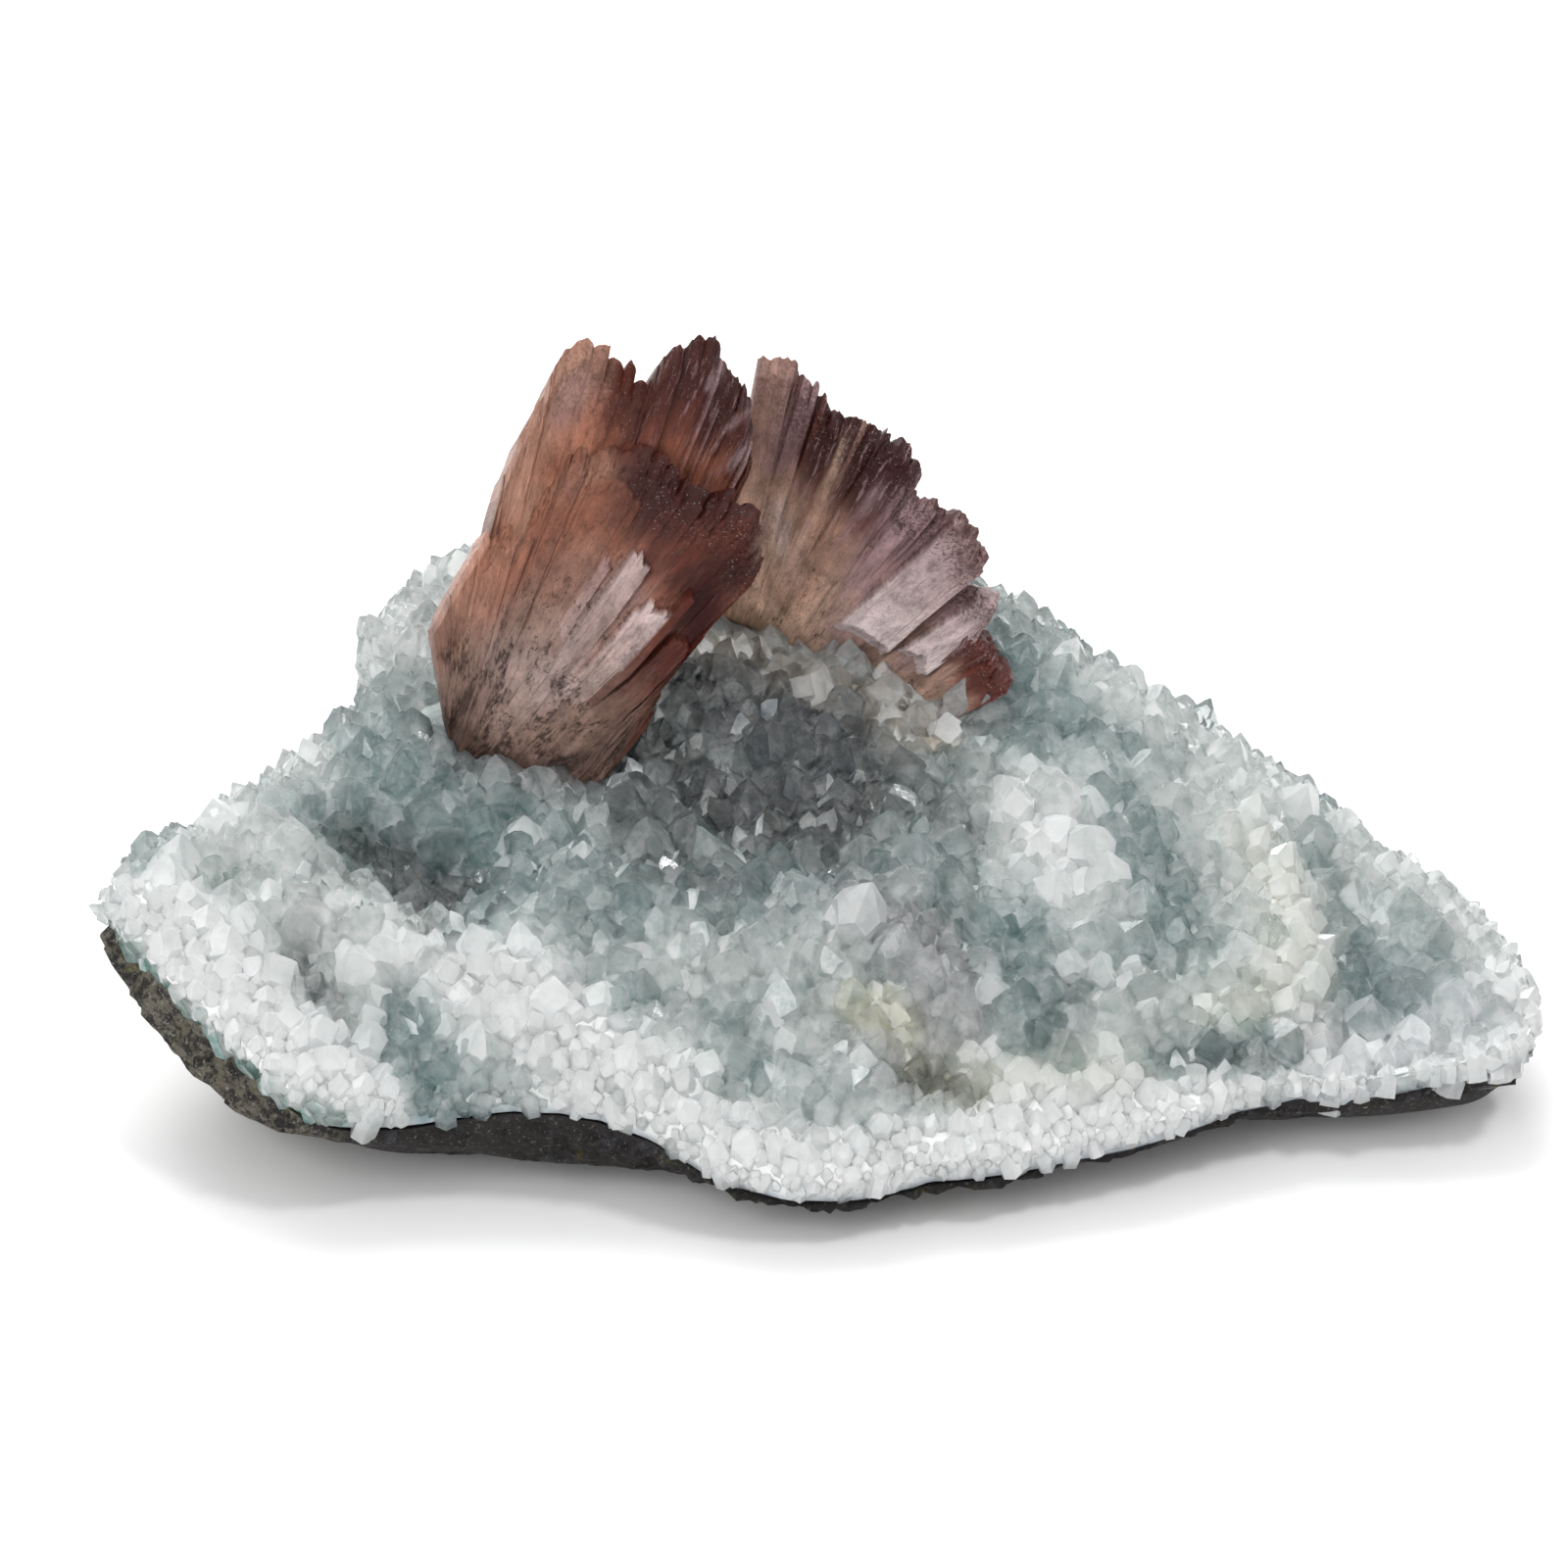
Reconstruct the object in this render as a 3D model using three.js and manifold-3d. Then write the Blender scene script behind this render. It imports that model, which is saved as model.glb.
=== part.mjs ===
// Heulandite on quartz: two sheaves of heulandite blades grown on a crust of
// quartz points, on a plate of basalt that is cut flat underneath.
// Millimetres. +X runs to the right of the face that is shown, +Y goes behind it and +Z is up.
// The origin is the middle of the flat cut that the specimen rests on.

import * as THREE from 'three';
import { mergeVertices } from 'three/addons/utils/BufferGeometryUtils.js';
import Module from 'manifold-3d';

const wasm = await Module();
wasm.setup();

// Crust of quartz
const columns = 72;
const domeHeight = 22;
const domeRiseToBack = 0.28;
const domeFallToRight = 0.10;
const domeCurve = 0.0012;
const skirtPower = 6;
const rimHeight = 2.6;
const crustDepth = 7.5;
const rimUndercut = 0.985;
const rimBreak = 0.7;
const gap = 0.35;

// Quartz points
const pointSpacing = 4.4;
const pointHeight = 1.9;
const pointHeightSpread = 0.9;
const pointLean = 0.55;
const pointUpward = 0.35;
const valleyDepth = 0.35;
const valleySway = 0.88;
const lastPointShare = 0.985;
const widestFlatBorder = 4;
const borderPointHeight = 1.3;

// Basalt plate
const footShare = 0.74;
const flankShare = 0.88;
const faceShare = 0.975;
const soleClearance = 1.4;
const rockRoughness = 0.75;

// Heulandite blades: the outline is given in shares of a blade's depth and of its length
const bladeOutline = [[0.14, 0], [0, 0.12], [0, 0.94], [0.2, 1], [1, 0.86], [0.86, 0]];
const bladeOverlap = [1, 1.3];
const bladeDepthSpread = [0.9, 1.1];
const footThickness = 2.4;
const socketGap = 0.3;
const bladeJitter = 0.6;

// Broken edge of the crust: x and y of the outline, z of the crust's lower edge,
// and the height of the basalt's broken face below it
const rimPoints = [
  [-63, -14.5, 18.3, 3.5], [-58.8, -19.6, 16.2, 8], [-54.5, -23.7, 14, 8.4], [-51, -26.8, 12.4, 7],
  [-48, -29.6, 10.8, 5], [-44.6, -32, 9.2, 1.8], [-41, -32.8, 8.4, 1.7], [-35, -32.2, 8.2, 2.2],
  [-30.9, -31.4, 8.6, 3.6], [-26.4, -30.9, 9, 5.4], [-21.8, -31.1, 8.9, 5.4], [-18.2, -31.4, 8.3, 5],
  [-13.5, -32.6, 7, 3.4], [-10.8, -34.2, 6, 1.8], [-7.8, -36, 5, 0.6], [-1.3, -37.9, 4.2, 0.5],
  [5, -37.5, 4, 0.5], [11, -35, 4.2, 0.5], [24, -32.3, 4.8, 0.5], [39, -26, 5.8, 0.5],
  [45, -24, 6, 2.6], [48.7, -24.6, 6, 1.4], [54.3, -24, 6.6, 1.3], [64, -21.5, 7.6, 2.4],
  [66, -17.5, 8, 2], [65, -8, 8.5, 3], [62.5, 0, 9, 4], [54, 8.5, 10.5, 5],
  [42, 18.5, 14, 5], [30, 26, 18, 5], [22, 33.5, 21, 5], [8, 40, 23, 5],
  [-8, 43, 24, 5], [-24, 42, 24, 5], [-36, 38, 21.5, 5], [-42.5, 30, 19.5, 5],
  [-41.5, 18, 19.5, 5], [-47, 7, 18.6, 4], [-54.5, 0, 18, 3], [-61, -7.5, 18.2, 2],
];

// Swells and hollows of the crust: a path in plan, its half width and its height
const relief = [
  { name: 'front left ridge', path: [[-46, -12], [-28, -18.7], [-15.4, -32.4]], width: 3.5, height: 2.6 },
  { name: 'dark valley', path: [[-42, -5.6], [-32.5, -13]], width: 3.4, height: -4.4 },
  { name: 'left rim ridge', path: [[-59, -11], [-48, -28]], width: 3.6, height: 2.2 },
  { name: 'left groove', path: [[-52, -11.4], [-42.4, -23], [-34, -31.6]], width: 3, height: -2.2 },
  { name: 'centre ridge', path: [[-23, -14.5], [-5, -13], [1, -16]], width: 3.6, height: 2.2 },
  { name: 'hollow before the sheaves', path: [[-9, 6], [4, 7]], width: 4.6, height: -3.6 },
  { name: 'hollow below it', path: [[-13, -5], [2, -6]], width: 4, height: -2.4 },
  { name: 'grey lobe', path: [[7, -14], [10.4, -19.3], [6.8, -25.4]], width: 4.6, height: 2 },
  { name: 'right lobe', path: [[24, 2], [26, -15]], width: 7.5, height: 3 },
  { name: 'step beside the lobe', path: [[15.5, 6], [14, -18]], width: 2.6, height: -1.8 },
  { name: 'cream band', path: [[41, 2.6], [45, -5], [43, -17], [37.5, -21.5]], width: 3.2, height: 2.6 },
  { name: 'groove beyond the band', path: [[47.8, 4], [51.6, -13.8], [47.3, -21]], width: 3, height: -2.8 },
  { name: 'far right lobe', path: [[57, -4.3], [61, -11.5], [56, -16]], width: 4.6, height: 2 },
  { name: 'pit', path: [[10, -28.6], [14, -28.4]], width: 2.6, height: -2.8 },
  { name: 'front right groove', path: [[33, -24.6], [41, -20]], width: 2.6, height: -1.8 },
  { name: 'back left knob', path: [[-38, 33], [-30, 35]], width: 6, height: 2.4 },
  { name: 'back right swell', path: [[14, 28], [30, 20]], width: 6, height: 1.6 },
];

// Heulandite sheaves: where the blades stand in the crust, and the tip of each blade, on its front edge
const leftSheaf = {
  name: 'heulandite_left_sheaf',
  axis: new THREE.Vector3(-0.1, 0.99, 0),
  groups: [
    {
      depth: 6.5,
      feet: [[-32, 8, 27], [-29.5, 7, 24.5], [-24, 8, 23.5], [-18, 9, 23.5]],
      tips: [
        [-25.2, 13, 43], [-23, 13.5, 48.5], [-20.6, 14, 54],
        [-17.8, 15, 60.9], [-15.7, 15.5, 60.3], [-13.7, 16, 58.4], [-11.6, 16, 60],
        [-9.4, 16, 62.2], [-7.2, 16, 59.8], [-5.6, 16, 56.2], [-5, 15.5, 52],
        [-5.6, 15, 47.5],
      ],
    },
    {
      depth: 8,
      feet: [[-30, 4.5, 27], [-28, 2.5, 24.5], [-25, 1.8, 22.6], [-20, 3, 23]],
      tips: [
        [-31, 8, 35.6], [-27.2, 7.8, 41], [-24.2, 8, 46], [-21.8, 8, 50],
        [-19.8, 8, 53.6], [-17.4, 8, 53.4], [-15, 8.5, 52.4], [-12.6, 9, 51.4],
        [-10.2, 9, 50.4], [-7.8, 9, 49], [-5.6, 9, 48.2], [-3.8, 9, 46],
        [-3.2, 9, 43], [-5, 8.5, 40.4], [-7.2, 8, 38], [-9.4, 7.5, 35.2],
        [-12, 7, 32.6], [-14, 6.5, 29],
      ],
    },
    {
      depth: 3,
      feet: [[-26, 3.2, 27], [-23.6, 2.8, 27], [-21, 4, 27]],
      tips: [[-17.2, 5, 45.4], [-14.6, 5.2, 46.2], [-12, 4.6, 41.6], [-9.7, 5, 41.8], [-9, 6, 37.4]],
    },
  ],
};
const rightSheaf = {
  name: 'heulandite_right_fan',
  axis: new THREE.Vector3(0.1, 0.99, 0),
  groups: [
    {
      depth: 6,
      feet: [[-5, 22, 26.5], [-1, 20, 25.5], [4, 18.5, 24], [10, 17, 21.5]],
      tips: [
        [-4, 26, 51.4], [-2, 26, 53.6], [0, 25.5, 51.8], [2, 25.2, 50],
        [3.9, 25, 48.2], [6, 24.5, 47.4], [8.2, 24, 46.2], [10, 23.3, 43.8],
        [11.9, 22.8, 41.4], [13.8, 22.2, 39.4], [16, 21.6, 38], [17, 21, 35.7],
        [16.2, 20.5, 34.2], [17.4, 20, 32], [16.8, 19.4, 29.6], [15.8, 19, 28],
        [18, 18.5, 26.6], [20, 18, 24.4], [17.4, 17, 22.8],
      ],
    },
  ],
};

const quartz = new THREE.MeshStandardMaterial({ color: 0xc6d3d2, roughness: 0.25, metalness: 0 });
const basalt = new THREE.MeshStandardMaterial({ color: 0x45423e, roughness: 0.9, metalness: 0 });
const heulandite = new THREE.MeshStandardMaterial({ color: 0x9a5b4b, roughness: 0.35, metalness: 0 });

// Seeded random numbers from 0 to 1
function randomFrom(seed) {
  let state = seed;
  return () => {
    state = (state + 0x6d2b79f5) | 0;
    let value = Math.imul(state ^ (state >>> 15), 1 | state);
    value = (value + Math.imul(value ^ (value >>> 7), 61 | value)) ^ value;
    return ((value ^ (value >>> 14)) >>> 0) / 4294967296;
  };
}

// Turns an angle into a place from 0 to 1 on a full turn
function turnShare(angle) {
  return THREE.MathUtils.euclideanModulo(angle / (2 * Math.PI), 1);
}

// Radius, lower edge height and basalt face of the rim in each direction from the middle
const rimSamples = rimPoints
  .map(([x, y, z, band]) => ({ share: turnShare(Math.atan2(y, x)), radius: Math.hypot(x, y), z, band }))
  .sort((a, b) => a.share - b.share);

function rimAt(angle) {
  const share = turnShare(angle);
  const count = rimSamples.length;
  let next = rimSamples.findIndex((sample) => sample.share > share);
  if (next < 0) next = 0;
  const before = rimSamples[(next + count - 1) % count];
  const after = rimSamples[next];
  const span = THREE.MathUtils.euclideanModulo(after.share - before.share, 1);
  const part = THREE.MathUtils.euclideanModulo(share - before.share, 1) / span;
  return {
    radius: THREE.MathUtils.lerp(before.radius, after.radius, part),
    z: THREE.MathUtils.lerp(before.z, after.z, part),
    band: THREE.MathUtils.lerp(before.band, after.band, part),
  };
}

function dome(x, y) {
  return domeHeight + domeRiseToBack * y - domeFallToRight * x - domeCurve * x * x;
}

// Distance in plan from a place to a path of straight pieces
function distanceToPath(x, y, path) {
  let nearest = Infinity;
  for (let i = 0; i + 1 < path.length; i += 1) {
    const [ax, ay] = path[i];
    const dx = path[i + 1][0] - ax;
    const dy = path[i + 1][1] - ay;
    const along = THREE.MathUtils.clamp(((x - ax) * dx + (y - ay) * dy) / (dx * dx + dy * dy), 0, 1);
    nearest = Math.min(nearest, Math.hypot(x - ax - along * dx, y - ay - along * dy));
  }
  return nearest;
}

function reliefAt(x, y) {
  return relief.reduce((sum, swell) => {
    const away = distanceToPath(x, y, swell.path) / swell.width;
    return sum + swell.height * Math.exp(-0.5 * away * away);
  }, 0);
}

// How much of its full height the crust has at a share of the way out to its rim
function skirt(out) {
  return Math.sqrt(Math.max(0, 1 - out ** skirtPower));
}

// Ground that the quartz points stand on
function groundPoint(angle, out) {
  const rim = rimAt(angle);
  const x = Math.cos(angle) * rim.radius * out;
  const y = Math.sin(angle) * rim.radius * out;
  const top = rim.z + rimHeight;
  return new THREE.Vector3(x, y, top + (dome(x, y) + reliefAt(x, y) - top) * skirt(out));
}

// Underside of the crust, which the basalt follows
function undersidePoint(angle, out, lowered) {
  const rim = rimAt(angle);
  const x = Math.cos(angle) * rim.radius * out;
  const y = Math.sin(angle) * rim.radius * out;
  const z = rim.z + (dome(x, y) - crustDepth - rim.z) * skirt(out / rimUndercut);
  return new THREE.Vector3(x, y, z - lowered);
}

// The ground is unrolled into a flat sheet, in which each ray from the middle keeps its real length
const raySteps = 48;
const rayCache = new Map();
function rayLengths(angle) {
  const key = angle.toFixed(4);
  if (!rayCache.has(key)) {
    const lengths = [0];
    let last = groundPoint(angle, 0);
    for (let i = 1; i <= raySteps; i += 1) {
      const point = groundPoint(angle, Math.sin((i / raySteps) * Math.PI / 2));
      lengths.push(lengths[i - 1] + last.distanceTo(point));
      last = point;
    }
    rayCache.set(key, lengths);
  }
  return rayCache.get(key);
}

function rayLength(angle) {
  return rayLengths(angle)[raySteps];
}

function onGround(x, y) {
  const angle = Math.atan2(y, x);
  const lengths = rayLengths(angle);
  const wanted = Math.min(Math.hypot(x, y), lengths[raySteps]);
  let step = 1;
  while (step < raySteps && lengths[step] < wanted) step += 1;
  const part = (wanted - lengths[step - 1]) / Math.max(lengths[step] - lengths[step - 1], 1e-9);
  return groundPoint(angle, Math.sin(((step - 1 + part) / raySteps) * Math.PI / 2));
}

const probe = 0.6;
function groundNormal(x, y) {
  const inward = 1 - probe / Math.max(Math.hypot(x, y), 2 * probe);
  const [cx, cy] = [x * inward, y * inward];
  const across = onGround(cx + probe, cy).sub(onGround(cx - probe, cy));
  const along = onGround(cx, cy + probe).sub(onGround(cx, cy - probe));
  return across.cross(along).normalize();
}

// Collects triangles, with each place kept once
class Shell {
  constructor() {
    this.positions = [];
    this.faces = [];
  }

  add(point) {
    this.positions.push(point.x, point.y, point.z);
    return this.positions.length / 3 - 1;
  }

  ringBand(lower, upper, facesIn = false) {
    lower.forEach((corner, i) => {
      const next = (i + 1) % lower.length;
      const quad = [corner, lower[next], upper[next], corner, upper[next], upper[i]];
      this.faces.push(...(facesIn ? quad.reverse() : quad));
    });
  }

  fan(ring, middle, facesUp) {
    ring.forEach((corner, i) => {
      const next = ring[(i + 1) % ring.length];
      this.faces.push(...(facesUp ? [corner, next, middle] : [next, corner, middle]));
    });
  }

  geometry() {
    const geometry = new THREE.BufferGeometry();
    geometry.setAttribute('position', new THREE.Float32BufferAttribute(this.positions, 3));
    geometry.setIndex(this.faces);
    return geometry;
  }
}

function toSolid(geometry) {
  const bare = geometry.clone();
  bare.deleteAttribute('normal');
  bare.deleteAttribute('uv');
  const merged = mergeVertices(bare, 1e-5);
  return new wasm.Manifold(new wasm.Mesh({
    numProp: 3,
    vertProperties: Float32Array.from(merged.attributes.position.array),
    triVerts: Uint32Array.from(merged.index.array),
  }));
}

function toMesh(solid, name, material) {
  const { vertProperties, triVerts } = solid.getMesh();
  const geometry = new THREE.BufferGeometry();
  geometry.setAttribute('position', new THREE.Float32BufferAttribute(vertProperties, 3));
  geometry.setIndex(Array.from(triVerts));
  geometry.computeVertexNormals();
  const mesh = new THREE.Mesh(geometry, material);
  mesh.name = name;
  return mesh;
}

const columnAngles = Array.from({ length: columns }, (_, i) => (i / columns) * 2 * Math.PI);
const ringShares = [0.94, 0.78, 0.45];

// Six flat faces around each quartz point, which meet the next points in the valleys
function addQuartzPoints(shell, random) {
  const rowStep = pointSpacing * Math.sqrt(3) / 2;
  const cellRadius = pointSpacing / Math.sqrt(3);
  const reach = Math.max(...columnAngles.map(rayLength));
  const valleys = new Map();
  const edges = new Map();
  for (let row = -Math.ceil(reach / rowStep); row * rowStep < reach; row += 1) {
    for (let place = -Math.ceil(reach / pointSpacing); place * pointSpacing < reach; place += 1) {
      const x = (place + (row % 2 === 0 ? 0 : 0.5)) * pointSpacing;
      const y = row * rowStep;
      const corners = Array.from({ length: 6 }, (_, k) => {
        const turn = (k + 0.5) * Math.PI / 3;
        return [x + cellRadius * Math.cos(turn), y + cellRadius * Math.sin(turn)];
      });
      const isInside = corners.every(([cx, cy]) => (
        Math.hypot(cx, cy) < lastPointShare * rayLength(Math.atan2(cy, cx))));
      if (!isInside) continue;
      const ring = corners.map(([cx, cy]) => {
        const key = `${Math.round(cx * 20)} ${Math.round(cy * 20)}`;
        if (!valleys.has(key)) {
          const flatX = cx + (random() - 0.5) * valleySway;
          const flatY = cy + (random() - 0.5) * valleySway;
          const bottom = onGround(flatX, flatY).addScaledVector(groundNormal(flatX, flatY), -valleyDepth);
          valleys.set(key, { index: shell.add(bottom), flat: new THREE.Vector2(flatX, flatY) });
        }
        return valleys.get(key);
      });
      const lean = new THREE.Vector3(random() - 0.5, random() - 0.5, 0).multiplyScalar(pointLean * 2);
      const growth = groundNormal(x, y).add(lean).add(new THREE.Vector3(0, 0, pointUpward)).normalize();
      const height = pointHeight + pointHeightSpread * (random() - 0.5) * 2;
      const apex = shell.add(onGround(x, y).addScaledVector(growth, height));
      ring.forEach((corner, k) => {
        const next = ring[(k + 1) % 6];
        shell.faces.push(corner.index, next.index, apex);
        const back = `${next.index} ${corner.index}`;
        if (edges.has(back)) edges.delete(back);
        else edges.set(`${corner.index} ${next.index}`, [corner, next]);
      });
    }
  }
  return edges;
}

// Puts the open edges of the field of points in order, as one loop
function orderedLoop(edges) {
  const following = new Map([...edges.values()].map(([from, to]) => [from.index, to]));
  const start = [...edges.values()][0][0];
  const loop = [start];
  for (let corner = following.get(start.index); corner !== start; corner = following.get(corner.index)) {
    loop.push(corner);
  }
  return loop;
}

// A wide face of the border carries a low point, and a narrow one stays flat
function addBorderFace(shell, face) {
  const [a, b, c] = face.map((index) => new THREE.Vector3().fromArray(shell.positions, index * 3));
  const triangle = new THREE.Triangle(a, b, c);
  if (triangle.getArea() < widestFlatBorder) {
    shell.faces.push(...face);
    return;
  }
  const top = triangle.getMidpoint(new THREE.Vector3());
  const apex = shell.add(top.addScaledVector(triangle.getNormal(new THREE.Vector3()), borderPointHeight));
  face.forEach((corner, i) => shell.faces.push(corner, face[(i + 1) % 3], apex));
}

function quartzCrust() {
  const random = randomFrom(11);
  const shell = new Shell();
  const inner = orderedLoop(addQuartzPoints(shell, random));
  const outer = columnAngles.map((angle) => {
    const edge = groundPoint(angle, 1);
    const out = 1 + (random() - 0.5) * rimBreak / Math.hypot(edge.x, edge.y);
    edge.x *= out;
    edge.y *= out;
    const length = rayLength(angle);
    const flat = new THREE.Vector2(Math.cos(angle) * length, Math.sin(angle) * length);
    return { index: shell.add(edge), flat };
  });
  const hole = inner.slice().reverse();
  const corners = [...outer, ...hole];
  const [outerFlat, holeFlat] = [outer, hole].map((loop) => loop.map((corner) => corner.flat));
  const border = THREE.ShapeUtils.triangulateShape(outerFlat, [holeFlat]);
  border.forEach((face) => addBorderFace(shell, face.map((corner) => corners[corner].index)));
  const lowerEdge = columnAngles.map((angle) => shell.add(undersidePoint(angle, rimUndercut, 0)));
  shell.ringBand(lowerEdge, outer.map((corner) => corner.index));
  const ringAt = (out) => columnAngles.map((angle) => shell.add(undersidePoint(angle, out, 0)));
  const rings = ringShares.map(ringAt);
  [lowerEdge, ...rings].slice(0, -1).forEach((ring, i) => shell.ringBand(ring, rings[i], true));
  shell.fan(rings.at(-1), shell.add(undersidePoint(0, 0, 0)), false);
  return toSolid(shell.geometry());
}

function basaltPlate() {
  const random = randomFrom(5);
  const rough = () => (random() - 0.5) * 2 * rockRoughness;
  const shell = new Shell();
  const polar = (angle, radius, z) => new THREE.Vector3(
    Math.cos(angle) * radius, Math.sin(angle) * radius, z,
  );
  const ringAt = (place) => columnAngles.map((angle) => shell.add(place(angle, rimAt(angle))));
  const faceFoot = (rim) => Math.max(rim.z - gap - rim.band, soleClearance);
  const sole = ringAt((angle, rim) => polar(angle, rim.radius * footShare + rough(), 0));
  const flank = ringAt((angle, rim) => polar(angle, rim.radius * flankShare + rough(), faceFoot(rim) * 0.5));
  const faceBottom = ringAt((angle, rim) => polar(angle, rim.radius * faceShare + rough(), faceFoot(rim)));
  const faceMiddle = ringAt((angle, rim) => (
    polar(angle, rim.radius + rough() / 2, (faceFoot(rim) + rim.z - gap) / 2)));
  const faceTop = ringAt((angle) => undersidePoint(angle, rimUndercut, gap));
  const cover = ringShares.map((out) => ringAt((angle) => undersidePoint(angle, out, gap)));
  const rings = [sole, flank, faceBottom, faceMiddle, faceTop, ...cover];
  rings.slice(0, -1).forEach((ring, i) => shell.ringBand(ring, rings[i + 1]));
  shell.fan(rings.at(-1), shell.add(undersidePoint(0, 0, gap)), true);
  shell.fan(sole, shell.add(new THREE.Vector3(0, 0, 0)), false);
  return toSolid(shell.geometry());
}

// One coffin-shaped blade: straight along its front edge, thicker towards its tip
function bladeSolid({ foot, tip, depth, thickness, axis }, clearance) {
  const length = foot.distanceTo(tip);
  const grow = (share, size) => (share - 0.5) * (size + 2 * clearance) + size / 2;
  const corners = bladeOutline.map(([u, v]) => new THREE.Vector2(grow(u, depth), grow(v, length)));
  const shape = new THREE.Shape(corners);
  const geometry = new THREE.ExtrudeGeometry(shape, { depth: 1, bevelEnabled: false });
  const position = geometry.attributes.position;
  for (let i = 0; i < position.count; i += 1) {
    const along = THREE.MathUtils.clamp(position.getY(i) / length, 0, 1);
    const thick = THREE.MathUtils.lerp(footThickness, thickness, along) + 2 * clearance;
    position.setZ(i, (position.getZ(i) - 0.5) * thick);
  }
  const lengthwise = tip.clone().sub(foot).normalize();
  const depthwise = axis.clone().addScaledVector(lengthwise, -axis.dot(lengthwise)).normalize();
  const across = depthwise.clone().cross(lengthwise);
  geometry.applyMatrix4(new THREE.Matrix4().makeBasis(depthwise, lengthwise, across).setPosition(foot));
  return toSolid(geometry);
}

// The blades of a sheaf, spread between their feet and their tips
function sheafBlades(sheaf) {
  const random = randomFrom(23);
  return sheaf.groups.flatMap(({ depth, feet, tips }) => {
    const footLine = new THREE.CatmullRomCurve3(feet.map((foot) => new THREE.Vector3(...foot)));
    const tipPlaces = tips.map((tip) => new THREE.Vector3(...tip));
    return tipPlaces.map((place, i) => {
      const nearest = Math.max(
        i > 0 ? place.distanceTo(tipPlaces[i - 1]) : 0,
        i + 1 < tips.length ? place.distanceTo(tipPlaces[i + 1]) : 0,
      );
      const sway = new THREE.Vector3(0, (random() - 0.5) * 2 * bladeJitter, 0);
      return {
        foot: footLine.getPoint(i / (tips.length - 1)).add(sway),
        tip: place.clone().add(sway),
        depth: depth * THREE.MathUtils.lerp(...bladeDepthSpread, random()),
        thickness: nearest * THREE.MathUtils.lerp(...bladeOverlap, random()),
        axis: sheaf.axis,
      };
    });
  });
}

function sheafSolid(sheaf, clearance) {
  return sheafBlades(sheaf)
    .map((blade) => bladeSolid(blade, clearance))
    .reduce((whole, blade) => whole.add(blade));
}

const crust = [leftSheaf, rightSheaf]
  .reduce((whole, sheaf) => whole.subtract(sheafSolid(sheaf, socketGap)), quartzCrust());

const specimen = new THREE.Group();
specimen.add(toMesh(basaltPlate(), 'basalt_matrix', basalt));
specimen.add(toMesh(crust, 'quartz_druse', quartz));
specimen.add(toMesh(sheafSolid(leftSheaf, 0), leftSheaf.name, heulandite));
specimen.add(toMesh(sheafSolid(rightSheaf, 0), rightSheaf.name, heulandite));

export default specimen;
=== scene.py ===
import math

import bpy
import numpy as np
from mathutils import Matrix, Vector, noise


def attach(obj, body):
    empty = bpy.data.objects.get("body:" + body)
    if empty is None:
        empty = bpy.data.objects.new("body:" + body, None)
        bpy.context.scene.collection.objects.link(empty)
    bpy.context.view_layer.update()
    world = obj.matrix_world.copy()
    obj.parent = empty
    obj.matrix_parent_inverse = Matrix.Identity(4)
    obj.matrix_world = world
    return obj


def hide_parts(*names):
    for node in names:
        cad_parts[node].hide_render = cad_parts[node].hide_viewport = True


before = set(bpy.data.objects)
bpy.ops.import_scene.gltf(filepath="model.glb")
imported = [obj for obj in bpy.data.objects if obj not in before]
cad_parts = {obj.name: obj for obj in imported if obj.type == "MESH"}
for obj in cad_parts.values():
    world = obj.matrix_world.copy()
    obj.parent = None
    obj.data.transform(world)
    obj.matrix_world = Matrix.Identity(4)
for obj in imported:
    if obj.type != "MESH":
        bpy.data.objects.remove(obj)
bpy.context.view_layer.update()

bl_info = {
    "name": "Heulandite on quartz specimen",
    "version": (1, 0, 0),
    "blender": (4, 5, 0),
    "location": "View3D > Sidebar > Specimen",
    "description": "Dresses the packed specimen: basalt, quartz druse, heulandite sheaves and studio",
    "category": "Add Mesh",
}

BODY = "root"
MM = 0.001
TURN = 2 * math.pi

# Rim of the crust seen from above, as x, y, height of its lower edge and height of the basalt face under it
RIM = np.array([
    [-63, -14.5, 18.3, 3.5], [-58.8, -19.6, 16.2, 8], [-54.5, -23.7, 14, 8.4], [-51, -26.8, 12.4, 7],
    [-48, -29.6, 10.8, 5], [-44.6, -32, 9.2, 1.8], [-41, -32.8, 8.4, 1.7], [-35, -32.2, 8.2, 2.2],
    [-30.9, -31.4, 8.6, 3.6], [-26.4, -30.9, 9, 5.4], [-21.8, -31.1, 8.9, 5.4], [-18.2, -31.4, 8.3, 5],
    [-13.5, -32.6, 7, 3.4], [-10.8, -34.2, 6, 1.8], [-7.8, -36, 5, 0.6], [-1.3, -37.9, 4.2, 0.5],
    [5, -37.5, 4, 0.5], [11, -35, 4.2, 0.5], [24, -32.3, 4.8, 0.5], [39, -26, 5.8, 0.5],
    [45, -24, 6, 2.6], [48.7, -24.6, 6, 1.4], [54.3, -24, 6.6, 1.3], [64, -21.5, 7.6, 2.4],
    [66, -17.5, 8, 2], [65, -8, 8.5, 3], [62.5, 0, 9, 4], [54, 8.5, 10.5, 5],
    [42, 18.5, 14, 5], [30, 26, 18, 5], [22, 33.5, 21, 5], [8, 40, 23, 5],
    [-8, 43, 24, 5], [-24, 42, 24, 5], [-36, 38, 21.5, 5], [-42.5, 30, 19.5, 5],
    [-41.5, 18, 19.5, 5], [-47, 7, 18.6, 4], [-54.5, 0, 18, 3], [-61, -7.5, 18.2, 2],
])
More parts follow.
